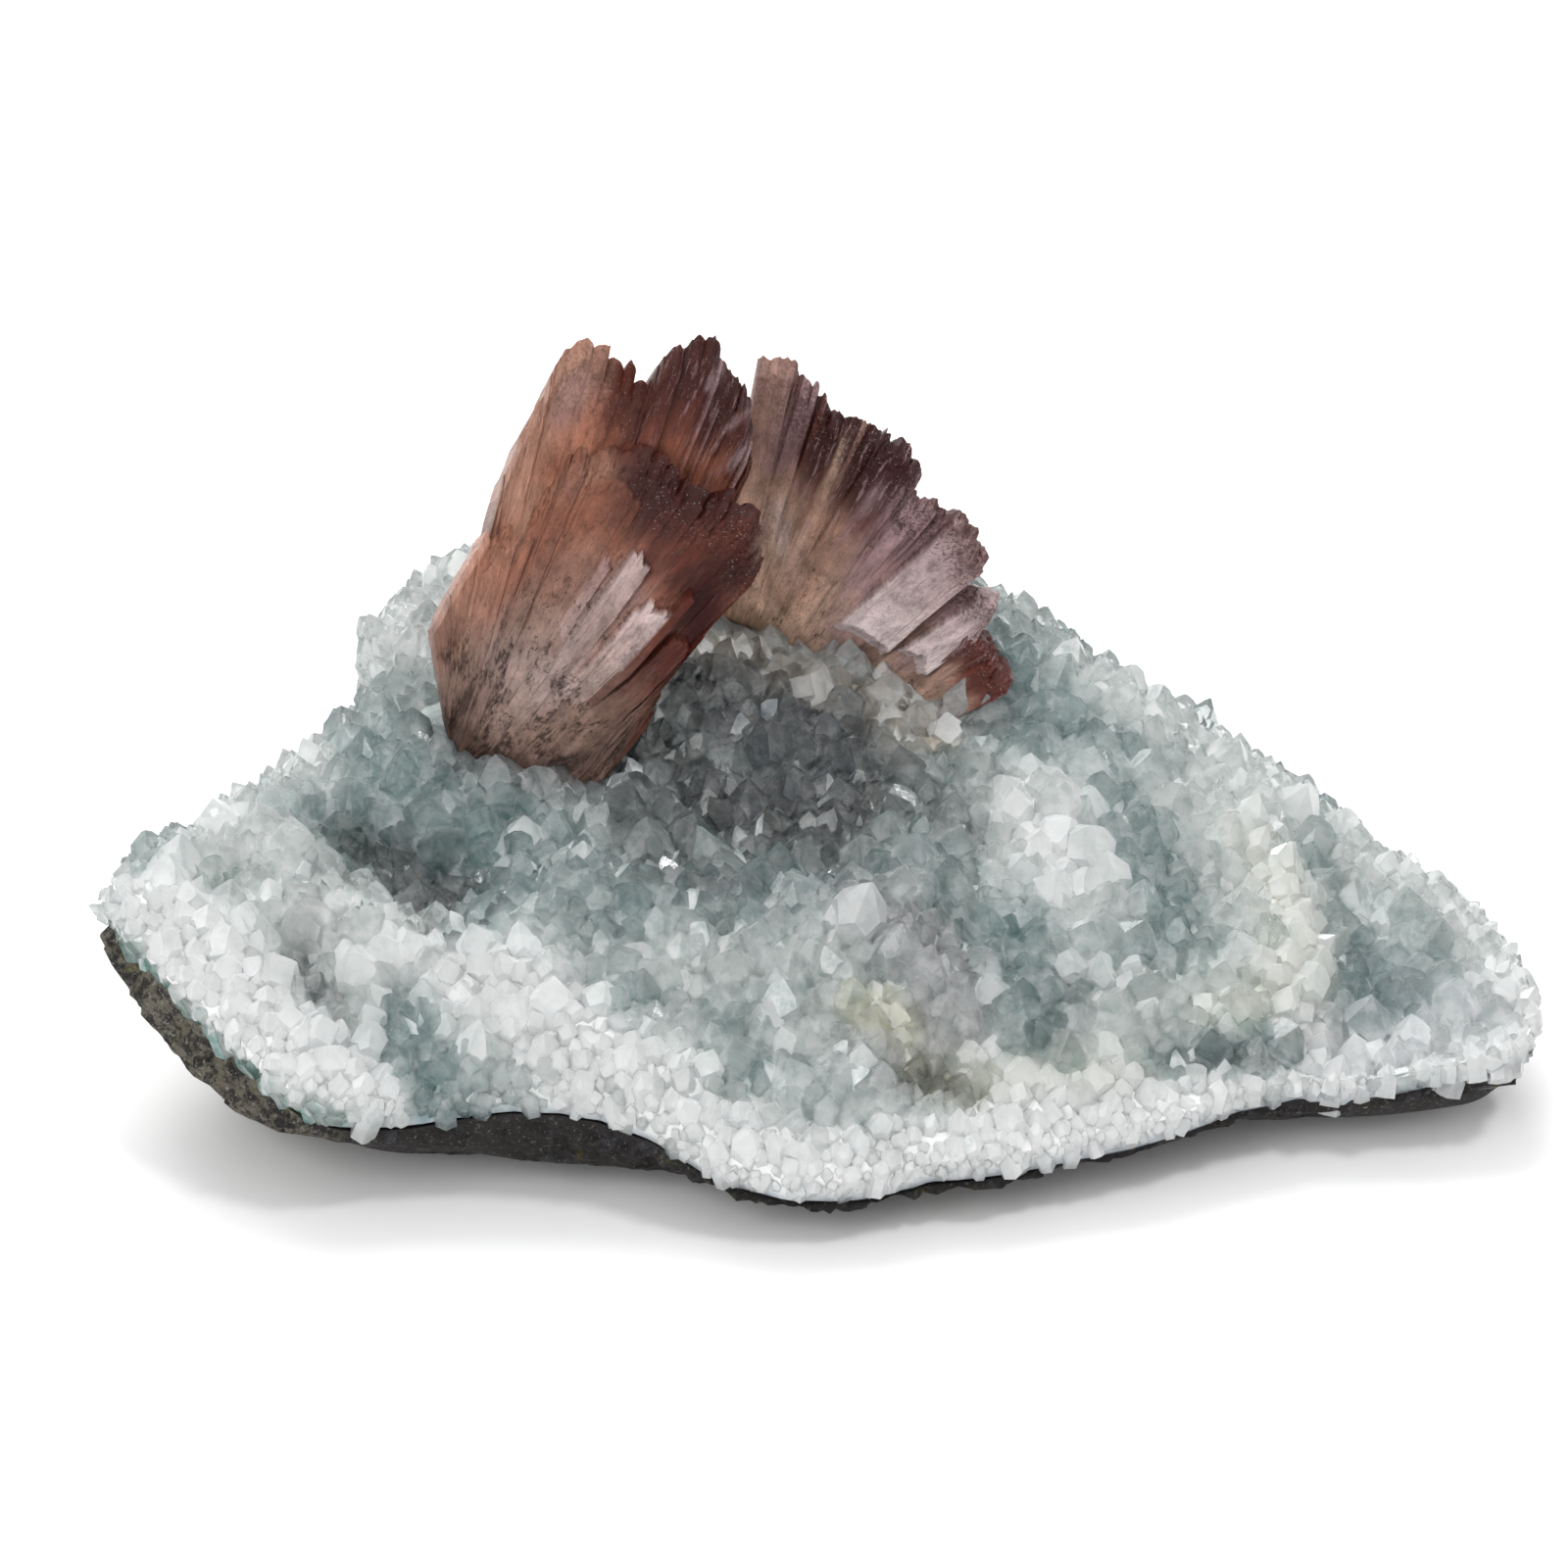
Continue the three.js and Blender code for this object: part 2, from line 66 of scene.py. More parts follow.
# Crust, in millimetres: its wall at the rim, its depth, and how far its ground lies below the dome
RIM_HEIGHT = 2.6
RIM_UNDERCUT = 0.985
RIM_REACH = 7
CRUST_DEPTH = 7.5
CRUST_BAND = 0.94
CRUST_MESH = (216, 84)
GROUND_DROP = 0.3
BACK_DROP, BACK_OVER = 0.9, 20
RIGHT_DROP, RIGHT_FROM, RIGHT_OVER = 2.1, 46, 12
GREEN_UNTIL, GREEN_OVER = -36, 6
# Basalt: gap below the crust, and how far out its sole, flank and face reach as shares of the rim
BASALT_MESH = (440, 128)
ROCK_GAP = 0.35
SOLE_SHARE = 0.74
FLANK_SHARE = 0.88
FACE_SHARE = 0.975
SOLE_CLEARANCE = 1.4
# Points: places tried for large and small ones, how far in under the sheaves they stand, and their end faces
TRIES = [12000, 50000]
UNDER_SHEAVES = 1.3
END_SLOPE = math.radians(51.8)
PROTOTYPES = 10
NEIGHBOURS = 9
QUARTZ_IOR = 1.54
# How far apart the noises of two seeds lie
SEED_STEPS = (17.3, 5.1, 9.7)

# Kinds of quartz: transmission, strength of veils, gamma of the tone, tone of clear parts, brightness of
# painted glints
QUARTZ_KINDS = {
    "quartz_clear": (0.88, 0.25, 0.7, (0.7, 0.77, 0.78), 0.0),
    "quartz_cloudy": (0.76, 0.4, 0.6, (0.74, 0.79, 0.79), 0.0),
    "quartz_milky": (0.58, 0.6, 0.4, (0.91, 0.93, 0.935), 0.0),
    "quartz_glinting": (0.4, 0.4, 0.75, (0.74, 0.79, 0.79), 0.45),
}
KIND_LIMITS = [0.34, 0.68]
GLINTING = 3
GLINTING_SHARE = 0.025

# Ridges and hollows of the ground, as their path seen from above, half width and height
RELIEF = [
    ([(-46, -12), (-28, -18.7), (-15.4, -32.4)], 3.5, 2.6),
    ([(-42, -5.6), (-32.5, -13)], 3.4, -4.4),
    ([(-59, -11), (-48, -28)], 3.6, 2.2),
    ([(-52, -11.4), (-42.4, -23), (-34, -31.6)], 3, -2.2),
    ([(-23, -14.5), (-5, -13), (1, -16)], 3.6, 2.2),
    ([(-9, 6), (4, 7)], 4.6, -3.6),
    ([(-13, -5), (2, -6)], 4, -2.4),
    ([(7, -14), (10.4, -19.3), (6.8, -25.4)], 4.6, 2),
    ([(24, 2), (26, -15)], 7.5, 3),
    ([(15.5, 6), (14, -18)], 2.6, -1.8),
    ([(41, 2.6), (45, -5), (43, -17), (37.5, -21.5)], 3.2, 2.6),
    ([(47.8, 4), (51.6, -13.8), (47.3, -21)], 3, -2.8),
    ([(57, -4.3), (61, -11.5), (56, -16)], 4.6, 2),
    ([(10, -28.6), (14, -28.4)], 2.6, -2.8),
    ([(33, -24.6), (41, -20)], 2.6, -1.8),
    ([(-38, 33), (-30, 35)], 6, -0.6),
    ([(14, 28), (30, 20)], 6, 1.6),
]

# Patches of the druse: finish, path seen from above, half width and strength; later ones cover earlier ones.
# The deep patches in the hollows and in front of the sheaves are partly painted shade of those hollows.
PATCHES = [
    ("teal", [(-28, -10), (-5, -12), (8, -8)], 9, 0.55),
    ("pale", [(-42, -15), (-34, -19)], 3.2, 0.8),
    ("pale", [(-50, -8), (-44, -14), (-38, -21)], 3, 0.6),
    ("white", [(-61, -13), (-57, -17), (-53.7, -21.4), (-49, -26), (-44.4, -30.5), (-38, -32.5)], 4.6, 1),
    ("white", [(-53.5, -4.5), (-47.5, -1)], 2.6, 0.8),
    ("teal", [(-58.5, -9.2), (-55.5, -7.4)], 1.8, 0.8),
    ("white", [(-31, -21), (-24, -25), (-19.8, -28.7), (-14.5, -32)], 3.6, 1),
    ("deep", [(-44.6, -16), (-43.6, -19), (-42.1, -21.8)], 1, 0.8),
    ("teal", [(-35.6, -25.5), (-33, -30.5)], 2.2, 0.9),
    ("teal", [(-47, -2), (-40, -4), (-32, -10), (-27, -15)], 3.6, 0.9),
    ("deep", [(-41.5, -4.5), (-38, -7.4), (-33, -11)], 3, 1),
    ("teal", [(-40, 7), (-34, 1), (-26, -3)], 3.4, 0.6),
    ("pale", [(-39.5, 24), (-36, 30)], 4.5, 0.9),
    ("pale", [(-27, -5.5), (-19, -4.6)], 2.2, 0.25),
    ("smoke", [(-15, 0), (-12, -7), (-8, -11)], 3.2, 0.75),
    # Deep patches in front of and under the sheaves: dark tone that is painted shade of the hollow there
    ("deep", [(-9, 17), (-3, 14), (3, 12), (4, 6), (-5, 3)], 5.6, 1),
    ("deep", [(-13, 8), (-8, 3), (-3, -1), (4, 0)], 3.6, 0.85),
    ("teal", [(-8, -8), (3, -8)], 2.6, 0.8),
    ("pale", [(-12, -19.5), (-3, -19.6), (3, -17.5)], 2.4, 0.7),
    ("lilac", [(6, -12), (11.3, -18.2), (13.8, -23.6), (8.5, -26.6)], 4, 0.85),
    ("yellow", [(5.4, -23.4), (8.8, -25.4)], 1.5, 0.8),
    ("pale", [(21, 2.5), (22.6, -5), (25, -9)], 4.4, 0.95),
    ("white", [(21, 0), (23.5, -7.5)], 2.4, 0.7),
    ("teal", [(18.6, -11), (20.4, -19.5), (20.7, -25)], 2.6, 1),
    ("teal", [(29.8, 1), (33, -8), (33.5, -16)], 3.6, 0.85),
    ("teal", [(18, 20), (24, 13.7), (31, 8)], 4.4, 0.8),
    ("pale", [(28, -21.5), (36, -16)], 2.8, 0.5),
    ("cream", [(41.6, 1), (44.2, -3.4), (44.8, -10.2), (42.6, -16.8), (37, -20.2)], 2.6, 0.9),
    ("teal", [(48.4, 8), (51.4, -3.2), (52, -13)], 3, 0.95),
    ("teal", [(56.4, 0), (60, -8)], 4, 0.5),
    ("teal", [(32, -25.3), (37.4, -23.4), (42, -20.8)], 1.7, 1),
    ("cream", [(14.5, -28.6), (22.3, -30), (29, -27.6)], 3, 0.9),
    ("olive", [(10.5, -28), (13.6, -29.2)], 1.3, 0.9),
    ("pale", [(-19, -32.4), (-10, -34.5), (-3, -33.5)], 2.6, 0.7),
    ("white", [(-9, -36.4), (-1.8, -38), (5, -37.8), (11.8, -35.6), (20.4, -33.6), (29.1, -31),
               (39, -26.6)], 3.2, 1),
    ("white", [(46, -22.6), (52, -20.4), (59, -19.8), (64, -19)], 3.6, 1),
    ("white", [(63, -10), (65, -17)], 2.6, 0.9),
    ("pale", [(31, 21), (42, 14), (52, 7), (59, 0)], 3.4, 0.8),
    ("pale", [(61, -3), (64, -12)], 3, 0.8),
    ("pale", [(30, 8), (36, 4), (39, -2)], 3, 0.5),
    ("pale", [(-54, 2), (-47, 8)], 4, 0.8),
    ("lilac", [(-6, 25), (4, 18), (16, 13)], 1.6, 0.6),
    ("beige", [(-9, 22), (-4, 20), (2, 18), (8, 15), (12, 11)], 2.2, 0.85),
    ("deep", [(-34, 8), (-30, 3), (-26, 1.5), (-20, 2), (-16, 6)], 1.8, 0.75),
    ("pale", [(-55.5, -8.5), (-46.5, -4.9)], 2.6, 0.8),
    ("white", [(27, -2.2), (22, -2)], 3, 0.2),
    ("white", [(17.8, -7.8), (20, -9)], 2.4, 0.35),
    ("pale", [(37, 8.6), (42.6, 8.2)], 3, 0.7),
    ("pale", [(54.3, -5.4), (52, 0)], 2, 0.5),
    ("smoke", [(10, 4), (14, 1)], 2.6, 0.5),
    ("teal", [(-30, -5), (-20, -6)], 2.6, 0.5),
    ("deep", [(-36, -8), (-30, -11)], 1.6, 0.5),
    ("deep", [(22.6, -19.5), (22, -24)], 2, 0.25),
    ("teal", [(34, -24.6), (37.4, -23.2), (42.4, -20.6)], 1.5, 0.95),
    ("deep", [(34, -24.8), (37.4, -23.6), (42, -21.2)], 0.9, 0.5),
    ("white", [(48.5, -19), (54, -16.6), (60, -15.6)], 2.8, 0.75),
]
# How milky each finish is, and the quartz between the patches
MILKINESS = {
    "white": 1, "pale": 0.62, "teal": 0.28, "deep": 0.08, "lilac": 0.45,
    "cream": 0.9, "yellow": 0.7, "olive": 0.2, "beige": 0.6, "smoke": 0.2,
}
FINISHES = list(MILKINESS)
BASE_MILKINESS = 0.42

# Sheaves, in millimetres. A plate has its place across, half width, start and end along the growth,
# thickness, length over which it rises, tone, and the share of that tone at its foot and at its tip
LEFT_AXIS = (-0.1, 0.99, 0)
RIGHT_AXIS = (0.1, 0.99, 0)
LEFT_BACK = dict(
    depth=6.5, axis=LEFT_AXIS, columns=260, rows=110,
    calm_until=0.3, grainy=0.6, left_round=2.4, right_round=0.8,
    feet=[
        (-33, 8.5, 27.5), (-30, 7.5, 25), (-24, 8, 23.5), (-16, 9.5, 23.5),
    ],
    tips=[
        (-28.8, 11, 44.5), (-27.4, 12.5, 49.3), (-25.5, 13, 54), (-23.6, 13.5, 57.2), (-21.3, 14, 61.6),
        (-19.5, 14.5, 62), (-17.3, 14.5, 61.8), (-16, 14.5, 61.3), (-14.7, 15, 59.5), (-13.6, 15, 58.7),
        (-12.6, 15, 60.5), (-11.6, 15.5, 61.3), (-9.1, 16, 62.3), (-7.1, 16, 60.2), (-5.1, 16, 57.5),
        (-4, 16, 51.6), (-4.7, 15.5, 48.8), (-6.8, 15, 46),
    ],
    plates=[
        (0.08, 2.6, 0.2, 0.9, 0.3, 6, "peach", 0, 0.3), (0.52, 1.8, 0.3, 0.93, 0.3, 6, "wine", 0, 0.2),
        (0.6, 1.4, 0.3, 1.1, 0.5, 5, "plum", 0, 0.3), (0.8, 1.6, 0.3, 0.95, 0.3, 5, "plum", 0, 0.3),
        (0.705, 0.3, 0.6, 0.99, 0.3, 5, "lilac", 0, 0.75), (0.73, 0.2, 0.5, 0.9, 0.3, 5, "lilac", 0, 0.6),
        (0.868, 0.4, 0.5, 1.1, 0.5, 5, "lilac", 0, 0.85), (0.83, 0.2, 0.5, 1.02, 0.3, 5, "lilac", 0, 0.5),
        (0.9, 0.25, 0.5, 0.98, 0.4, 5, "orange", 0.5, 0.6),
    ],
    growth=[(0.1, "tan"), (0.4, "peach"), (0.6, "orange"), (0.8, "plum"), (0.97, "wine")],
)
LEFT_FRONT = dict(
    depth=8, axis=LEFT_AXIS, columns=400, rows=146,
    calm_until=0.25, grainy=1, left_round=2, right_round=1,
    feet=[
        (-33.6, 7, 27), (-32.2, 4.2, 24.6), (-29.5, 2, 22.6), (-26, 0.9, 21.6), (-22, 0.7, 21.6),
        (-18.6, 1.8, 22.6),
    ],
    tips=[
        (-34.8, 8, 34.9), (-32, 9.5, 39.7), (-28.8, 11, 44.5), (-26.1, 11.8, 46.6), (-23.3, 12, 49.3),
        (-20.5, 12, 53), (-16.1, 11.8, 53.4), (-12.5, 11.2, 52.7), (-10.5, 10.2, 51.6), (-10, 9.4, 49.8),
        (-7.8, 9, 49.2), (-6.4, 9, 49.8), (-4.5, 9, 49), (-3, 9, 47.3), (-2.6, 9, 45.5), (-3.2, 8.8, 45),
        (-2.4, 8.8, 43.6), (-3, 8.6, 42.5), (-5.1, 8.3, 40.9), (-8.1, 8, 38.2), (-8.8, 7.6, 36.1),
        (-10.8, 7, 34.7), (-12.1, 6.6, 33.7), (-12.5, 6, 31.4), (-14.2, 5, 28.3), (-16.3, 4, 26.6),
    ],
    plates=[
        (0.454, 0.6, 0.4, 0.69, 0.5, 7, "lilac", 0, 0.6), (0.499, 1.3, 0.4, 0.77, 0.9, 7, "pink", 0, 0.6),
        (0.572, 1.5, 0.3, 0.65, 1.1, 6, "pink", 0.2, 0.8),
        (0.607, 0.5, 0.3, 0.72, 1.5, 6, "plum", 0.4, 0.7), (0.66, 1.5, 0.3, 0.66, 0.9, 5, "plum", 0.2, 0.6),
        (0.76, 1.7, 0.3, 0.97, 0.7, 4, "wine", 0.1, 0.6), (0.95, 1, 0.2, 1.1, 0.4, 2, "plum", 0.3, 0.6),
        (0.4, 3.4, 0.3, 0.9, 0.16, 9, "orange", 0.2, 0.3), (0.2, 2.2, 0.1, 0.85, 0.2, 8, "peach", 0, 0.3),
        (0.33, 1.6, 0.2, 1.1, 0.4, 8, "plum", 0, 0.3),
    ],
    growth=[(0.1, "tan"), (0.4, "tan"), (0.62, "orange"), (0.86, "orange"), (1, "plum")],
    left_growth=[(0.1, "tan"), (0.42, "tan"), (0.62, "orange")],
)
RIGHT_FAN = dict(
    depth=6, axis=RIGHT_AXIS, columns=380, rows=130,
    calm_until=0, grainy=0.8, left_round=0.8, right_round=0.8,
    feet=[
        (-9, 24, 29), (-5.5, 22.7, 28.3), (-1.5, 21.3, 26.8), (4, 19.8, 25.5), (9, 17.2, 24),
        (11.5, 13, 21.5),
    ],
    tips=[
        (-4.6, 26.5, 54.3), (-2.7, 26.5, 54.5), (-0.9, 26.5, 54.3), (0.4, 26, 53.1), (1.4, 25.5, 52.5),
        (3.7, 25, 49.3), (6, 25, 48.7), (7.9, 24.5, 47.7), (9.7, 24, 46.7), (11.1, 23.5, 43.9),
        (13.5, 22.8, 41.1), (15.3, 22, 40.5), (16.7, 21.6, 39.2), (17.9, 21, 36.9), (15.5, 20.5, 34.5),
        (18.3, 20, 33), (17.8, 18.4, 31), (15.3, 16.5, 30.4), (17.8, 15, 29.2), (19.7, 13.6, 27.1),
        (17.8, 12.8, 26), (13.6, 12.6, 24.1),
    ],
    plates=[
        (0.037, 1.9, 0.1, 1.1, 0.3, 6, "grey", 0, 0.6), (0.107, 1, 0.5, 1.1, 0.4, 6, "lilac", 0, 0.6),
        (0.14, 0.5, 0.3, 1, 0.3, 6, "plum", 0, 0.7), (0.17, 1.2, 0.3, 0.97, 0.3, 5, "wine", 0, 0.7),
        (0.19, 0.3, 0.6, 0.9, 0.3, 5, "lilac", 0, 0.6), (0.228, 0.35, 0.5, 1.1, 0.4, 5, "grey", 0, 0.7),
        (0.3, 2.2, 0.3, 1.1, 0.5, 5, "wine", 0, 0.5), (0.3, 0.35, 0.4, 0.8, 0.5, 5, "cream", 0.2, 0.5),
        (0.345, 0.5, 0.5, 0.88, 0.7, 5, "lilac", 0, 0.6), (0.385, 1, 0.4, 0.84, 0.8, 5, "lilac", 0.1, 0.7),
        (0.42, 0.3, 0.5, 0.96, 0.6, 5, "lilac", 0.1, 0.6), (0.5, 2.7, 0.2, 1.1, 1.4, 1.2, "pink", 1, 0),
        (0.675, 2.2, 0.3, 1.1, 1.6, 1.2, "pink", 1, 0.25), (0.86, 2.2, 0.3, 1.1, 0.6, 3, "plum", 0, 0.4),
    ],
    growth=[(0.1, "cream"), (0.35, "cream"), (0.55, "peach"), (0.72, "plum"), (0.9, "wine")],
)

# Way round a blade from the middle of its foot: up the front, over the end and down the back
BLADE_WAY = [0, 0.03, 0.07, 0.42, 0.68, 0.74, 0.82, 0.97, 1]
BLADE_RISE = [0, 0, 0.1, 0.72, 0.93, 0.985, 0.86, 0, 0]
BLADE_DEPTH = [0.5, 0.16, 0, 0, 0, 0.2, 1, 0.86, 0.5]
# Room for the lanes of one book of blades, in millimetres, and the angle from which an edge is sharp
LANES = 12
CREASE = math.radians(38)

# Broad strokes of tone on the sheaves: tone, path as seen from the front and above, half width and strength
SEEN_FROM = math.radians(30)
LEFT_BACK_STROKES = [
    # The peach strokes at the upper left are partly painted glow of light coming through the thin blades
    ("peach", [(-19.5, 60.4), (-21.8, 54.2), (-25.8, 48.5)], 4, 0.95),
    ("lilac", [(-20.2, 57.6), (-21.4, 54.8)], 1, 0.5),
    ("orange", [(-19.1, 53.3), (-21.6, 49.6), (-18, 50.7)], 2.4, 0.8),
    ("wine", [(-14.8, 58.7), (-10.1, 60.1), (-6.5, 57.8), (-4.8, 55.3)], 3.5, 0.7),
    ("plum", [(-16, 58.2), (-16.7, 55.3)], 2, 0.7),
    ("orange", [(-11.4, 50.5), (-9, 48.5), (-7.2, 50.2)], 2.2, 0.8),
    ("wine", [(-7.8, 53.1), (-4.5, 53.1), (-5.1, 50.7)], 2, 0.6),
    ("lilac", [(-7.1, 59.3), (-8.9, 57.1)], 0.35, 0.7),
    ("lilac", [(-4.2, 52.7), (-6.6, 50.5)], 0.45, 0.8),
    ("lilac", [(-4.8, 55.6), (-7.2, 53.3)], 0.25, 0.6),
]
LEFT_FRONT_STROKES = [
    # The peach stroke at the upper left is partly painted glow of light coming through the thin blades
    ("peach", [(-25.7, 49.7), (-28.5, 44), (-31.4, 38.8)], 3, 0.7),
    ("orange", [(-22.7, 50.2), (-26.8, 44), (-28.4, 40.5)], 2.5, 0.5),
    ("orange", [(-20.7, 49.7), (-23.1, 46.3)], 3, 0.5),
    ("plum", [(-16.5, 50.9), (-13.5, 52), (-11.2, 50.2)], 1.4, 0.6),
    ("wine", [(-14.8, 48.6), (-10.1, 46.9), (-5.9, 46.3), (-3.3, 45.1)], 3.6, 0.95),
    ("wine", [(-15.4, 46.3), (-13.1, 44.6)], 2.4, 0.8),
    ("plum", [(-12.5, 42.3), (-9, 41.7), (-6, 42.3)], 2.6, 0.8),
    ("wine", [(-10.2, 39.3), (-6, 40.5), (-3.3, 41.7)], 2, 0.8),
    ("tan", [(-3.3, 43.4), (-3, 41.2)], 0.8, 0.7),
    ("peach", [(-22.2, 48.4), (-18.8, 50.6)], 1.8, 0.5),
    ("tan", [(-20.6, 40.4), (-24.4, 35.6)], 3, 0.7),
    ("pink", [(-27.2, 32.3), (-26.7, 28.1)], 2.6, 0.22),
    ("tan", [(-33.2, 33.4), (-31.6, 27.5), (-27.5, 23)], 4, 0.6),
    ("pink", [(-16.6, 38.6), (-19.8, 35.9), (-22.8, 30.5)], 2, 0.35),
    ("wine", [(-9.2, 37.4), (-10.4, 34.1), (-12.1, 31.1)], 2.4, 1),
    ("plum", [(-13.3, 31.7), (-15.1, 29.9)], 2, 0.6),
    ("tan", [(-17.6, 28.1), (-21.4, 24.4), (-24.5, 22.4)], 3.4, 0.6),
    ("dirt", [(-30.9, 29.6), (-31.3, 28.1)], 0.6, 0.7),
    ("dirt", [(-33.4, 27), (-28.6, 23.4), (-25, 21.4), (-20, 22.6), (-16, 25.4)], 1.6, 0.55),
    ("dirt", [(-25.1, 22), (-20.2, 23.6)], 0.6, 0.6),
    ("dirt", [(-33.5, 32.9), (-31.7, 31.7)], 0.35, 0.7),
]
RIGHT_STROKES = [
    ("cream", [(-4.6, 48), (-1.8, 42.1), (1, 35.7)], 4, 0.85),
    ("pink", [(-2.6, 47), (-0.6, 41)], 1, 0.4),
    ("grey", [(-4.1, 59.5), (-1.8, 59), (-3.4, 55.6), (-3.9, 52.9)], 2.6, 0.9),
    ("lilac", [(-0.2, 58.6), (-2.3, 51.6)], 1.2, 0.6),
    ("plum", [(0.5, 58.3), (1.4, 57.3)], 1.5, 0.7),
    ("wine", [(1.9, 55.6), (0.7, 52)], 1.8, 0.8),
    ("wine", [(5.6, 52.9), (7.9, 51.1), (10.7, 48.9), (12.6, 47.2)], 4, 0.95),
    ("wine", [(6.5, 51.6), (5.2, 48)], 2.6, 0.8),
    ("cream", [(4, 53.3), (1.7, 46.6), (-1.8, 42.1)], 0.5, 0.6),
    ("lilac", [(7.2, 48.9), (2.9, 43.3)], 0.6, 0.6),
    ("plum", [(5.7, 45.3), (6.6, 45.3)], 1.1, 0.7),
    ("peach", [(2.4, 44.4), (-0.4, 40.3)], 2, 0.6),
    ("lilac", [(10.3, 46.6), (7.5, 43.3), (5.7, 40.3)], 2, 0.8),
    ("plum", [(15.9, 45.3), (14.6, 42.6)], 2.6, 0.6),
    ("plum", [(17.4, 43.1), (14.6, 40.8)], 1, 0.6),
    ("lilac", [(16.7, 39.6), (14.7, 36.4)], 2, 0.6),
    ("lilac", [(12.9, 43.1), (9.9, 39.9), (7.6, 37.5), (4.1, 35.7)], 2.2, 0.7),
    ("lilac", [(13.8, 35.7), (10.5, 33.2)], 1.8, 0.8),
    ("tan", [(10.9, 36.4), (8.1, 34.6), (4.1, 33.7)], 1.3, 0.8),
    ("plum", [(16.7, 33.4), (19.3, 30.9)], 2.4, 0.9),
    ("tan", [(12.4, 31.1), (13.9, 28.7)], 2, 0.8),
    ("dirt", [(3.9, 33.7), (5.3, 33.9)], 0.5, 0.6),
]


def tone(red, green, blue):
    """Linear light of a colour of 0 to 255 a channel, by the usual screen curve."""
    shares = [channel / 255 for channel in (red, green, blue)]
    return tuple(share / 12.92 if share < 0.04 else ((share + 0.055) / 1.055) ** 2.4 for share in shares)


# Settings

def a_colour(name, description, value):
    return bpy.props.FloatVectorProperty(
        name=name, description=description, subtype="COLOR", size=3, min=0, max=1, default=tone(*value))


def a_number(name, description, value, **more):
    return bpy.props.FloatProperty(name=name, description=description, min=0, default=value, **more)


def an_angle(name, description, degrees):
    return bpy.props.FloatProperty(
        name=name, description=description, subtype="ANGLE", default=math.radians(degrees))


def a_seed(value):
    return bpy.props.IntProperty(name="Seed", description="Start of the random draws", default=value)


def a_length(name, description, value):
    return a_number(name, description, value, unit="LENGTH", subtype="DISTANCE")


class BasaltSettings(bpy.types.PropertyGroup):
    lump_height: a_length("Lump height", "How far the broken rock swells", 0.0011)
    grain_height: a_length("Grain height", "How far single grains stand out", 0.0007)
    rock: a_colour("Rock", "Fine dark body of the rock", (50, 47, 45))
    tan: a_colour("Tan", "Weathered patches of the left face", (126, 120, 106))
    purple: a_colour("Purple grey", "Cooler patches of the rock", (74, 72, 80))
    olive: a_colour("Olive", "Rusty green spots", (104, 98, 50))
    speck: a_colour("Speck", "Pale grains", (186, 182, 172))


class QuartzSettings(bpy.types.PropertyGroup):
    large_width: a_length("Large points", "Width of the large points", 0.0038)
    small_width: a_length("Small points", "Width of the small points between them", 0.0028)
    large_spacing: a_length("Large spacing", "Least distance between large points", 0.0026)
    small_spacing: a_length("Small spacing", "Least distance of a small point from any other", 0.0014)
    lean: an_angle("Lean", "How far points lean away from straight", 20)
    upright: a_number("Upright", "How strongly points turn upwards", 0.9)
    swell: a_length("Swell", "Height of the uneven ground under the points", 0.0007)
    seed: a_seed(7)
    white: a_colour("White", "Milky quartz of the ridges and rims", (250, 250, 249))
    pale: a_colour("Pale", "Cloudy quartz", (228, 230, 228))
    teal: a_colour("Teal", "Clear quartz over green rock", (114, 145, 144))
    # deep: dark teal of clear quartz over the rock, made darker still as painted shade of the hollows where
    # it lies
    deep: a_colour("Deep", "Clear quartz over dark hollows", (17, 25, 29))
    lilac: a_colour("Lilac grey", "Faintly violet quartz", (166, 163, 166))
    cream: a_colour("Cream", "Warm milky quartz", (230, 229, 217))
    yellow: a_colour("Yellow", "Points with a yellow stain", (206, 202, 162))
    olive: a_colour("Olive", "Stain in the small pit", (112, 112, 84))
    beige: a_colour("Beige", "Dusty quartz at the feet of the sheaves", (170, 158, 142))
    # smoke: grey quartz over grey rock; in the hollow in front of the sheaves it is painted shade as well
    smoke: a_colour("Smoke", "Clear quartz over grey rock", (68, 73, 78))
    base: a_colour("Base", "Quartz between the patches", (172, 183, 181))
    rim_green: a_colour("Rim green", "Green earth under the quartz of the left rim", (56, 116, 102))
    # rim_blue: bluish grey along the lower edge of the quartz
    rim_blue: a_colour("Rim blue", "Dusty lower edge of the quartz", (138, 150, 160))


class HeulanditeSettings(bpy.types.PropertyGroup):
    blade_width: a_length("Blade width", "Usual width of one blade at its tip", 0.0009)
    step: a_length("Step", "How far neighbouring blades differ on the face", 0.00006)
    jag: a_length("Jag", "How far neighbouring blades differ in length", 0.00042)
    seed: a_seed(3)
    tan: a_colour("Tan", "Weathered foot of the blades", (142, 115, 102))
    peach: a_colour("Peach", "Clear flesh of the blades", (180, 136, 116))
    orange: a_colour("Orange brown", "Middle of the blades", (150, 94, 72))
    wine: a_colour("Wine", "Dark tips", (52, 8, 5))
    plum: a_colour("Plum", "Purple brown flesh between orange and wine", (92, 38, 28))
    # lilac: pale violet of faces and streaks; on the streaks it is painted sheen as well
    lilac: a_colour("Lilac", "Pale violet faces and streaks", (168, 138, 140))
    # pink: pale pink of the pearly faces, painted sheen as well where light catches them
    pink: a_colour("Pink", "Pearly faces of the right fan", (212, 196, 195))
    cream: a_colour("Cream", "Pale foot of the right fan", (204, 170, 148))
    grey: a_colour("Grey", "Clear greyish blades of the right fan", (160, 126, 114))
    dirt: a_colour("Dirt", "Specks and streaks of dirt", (40, 22, 16))


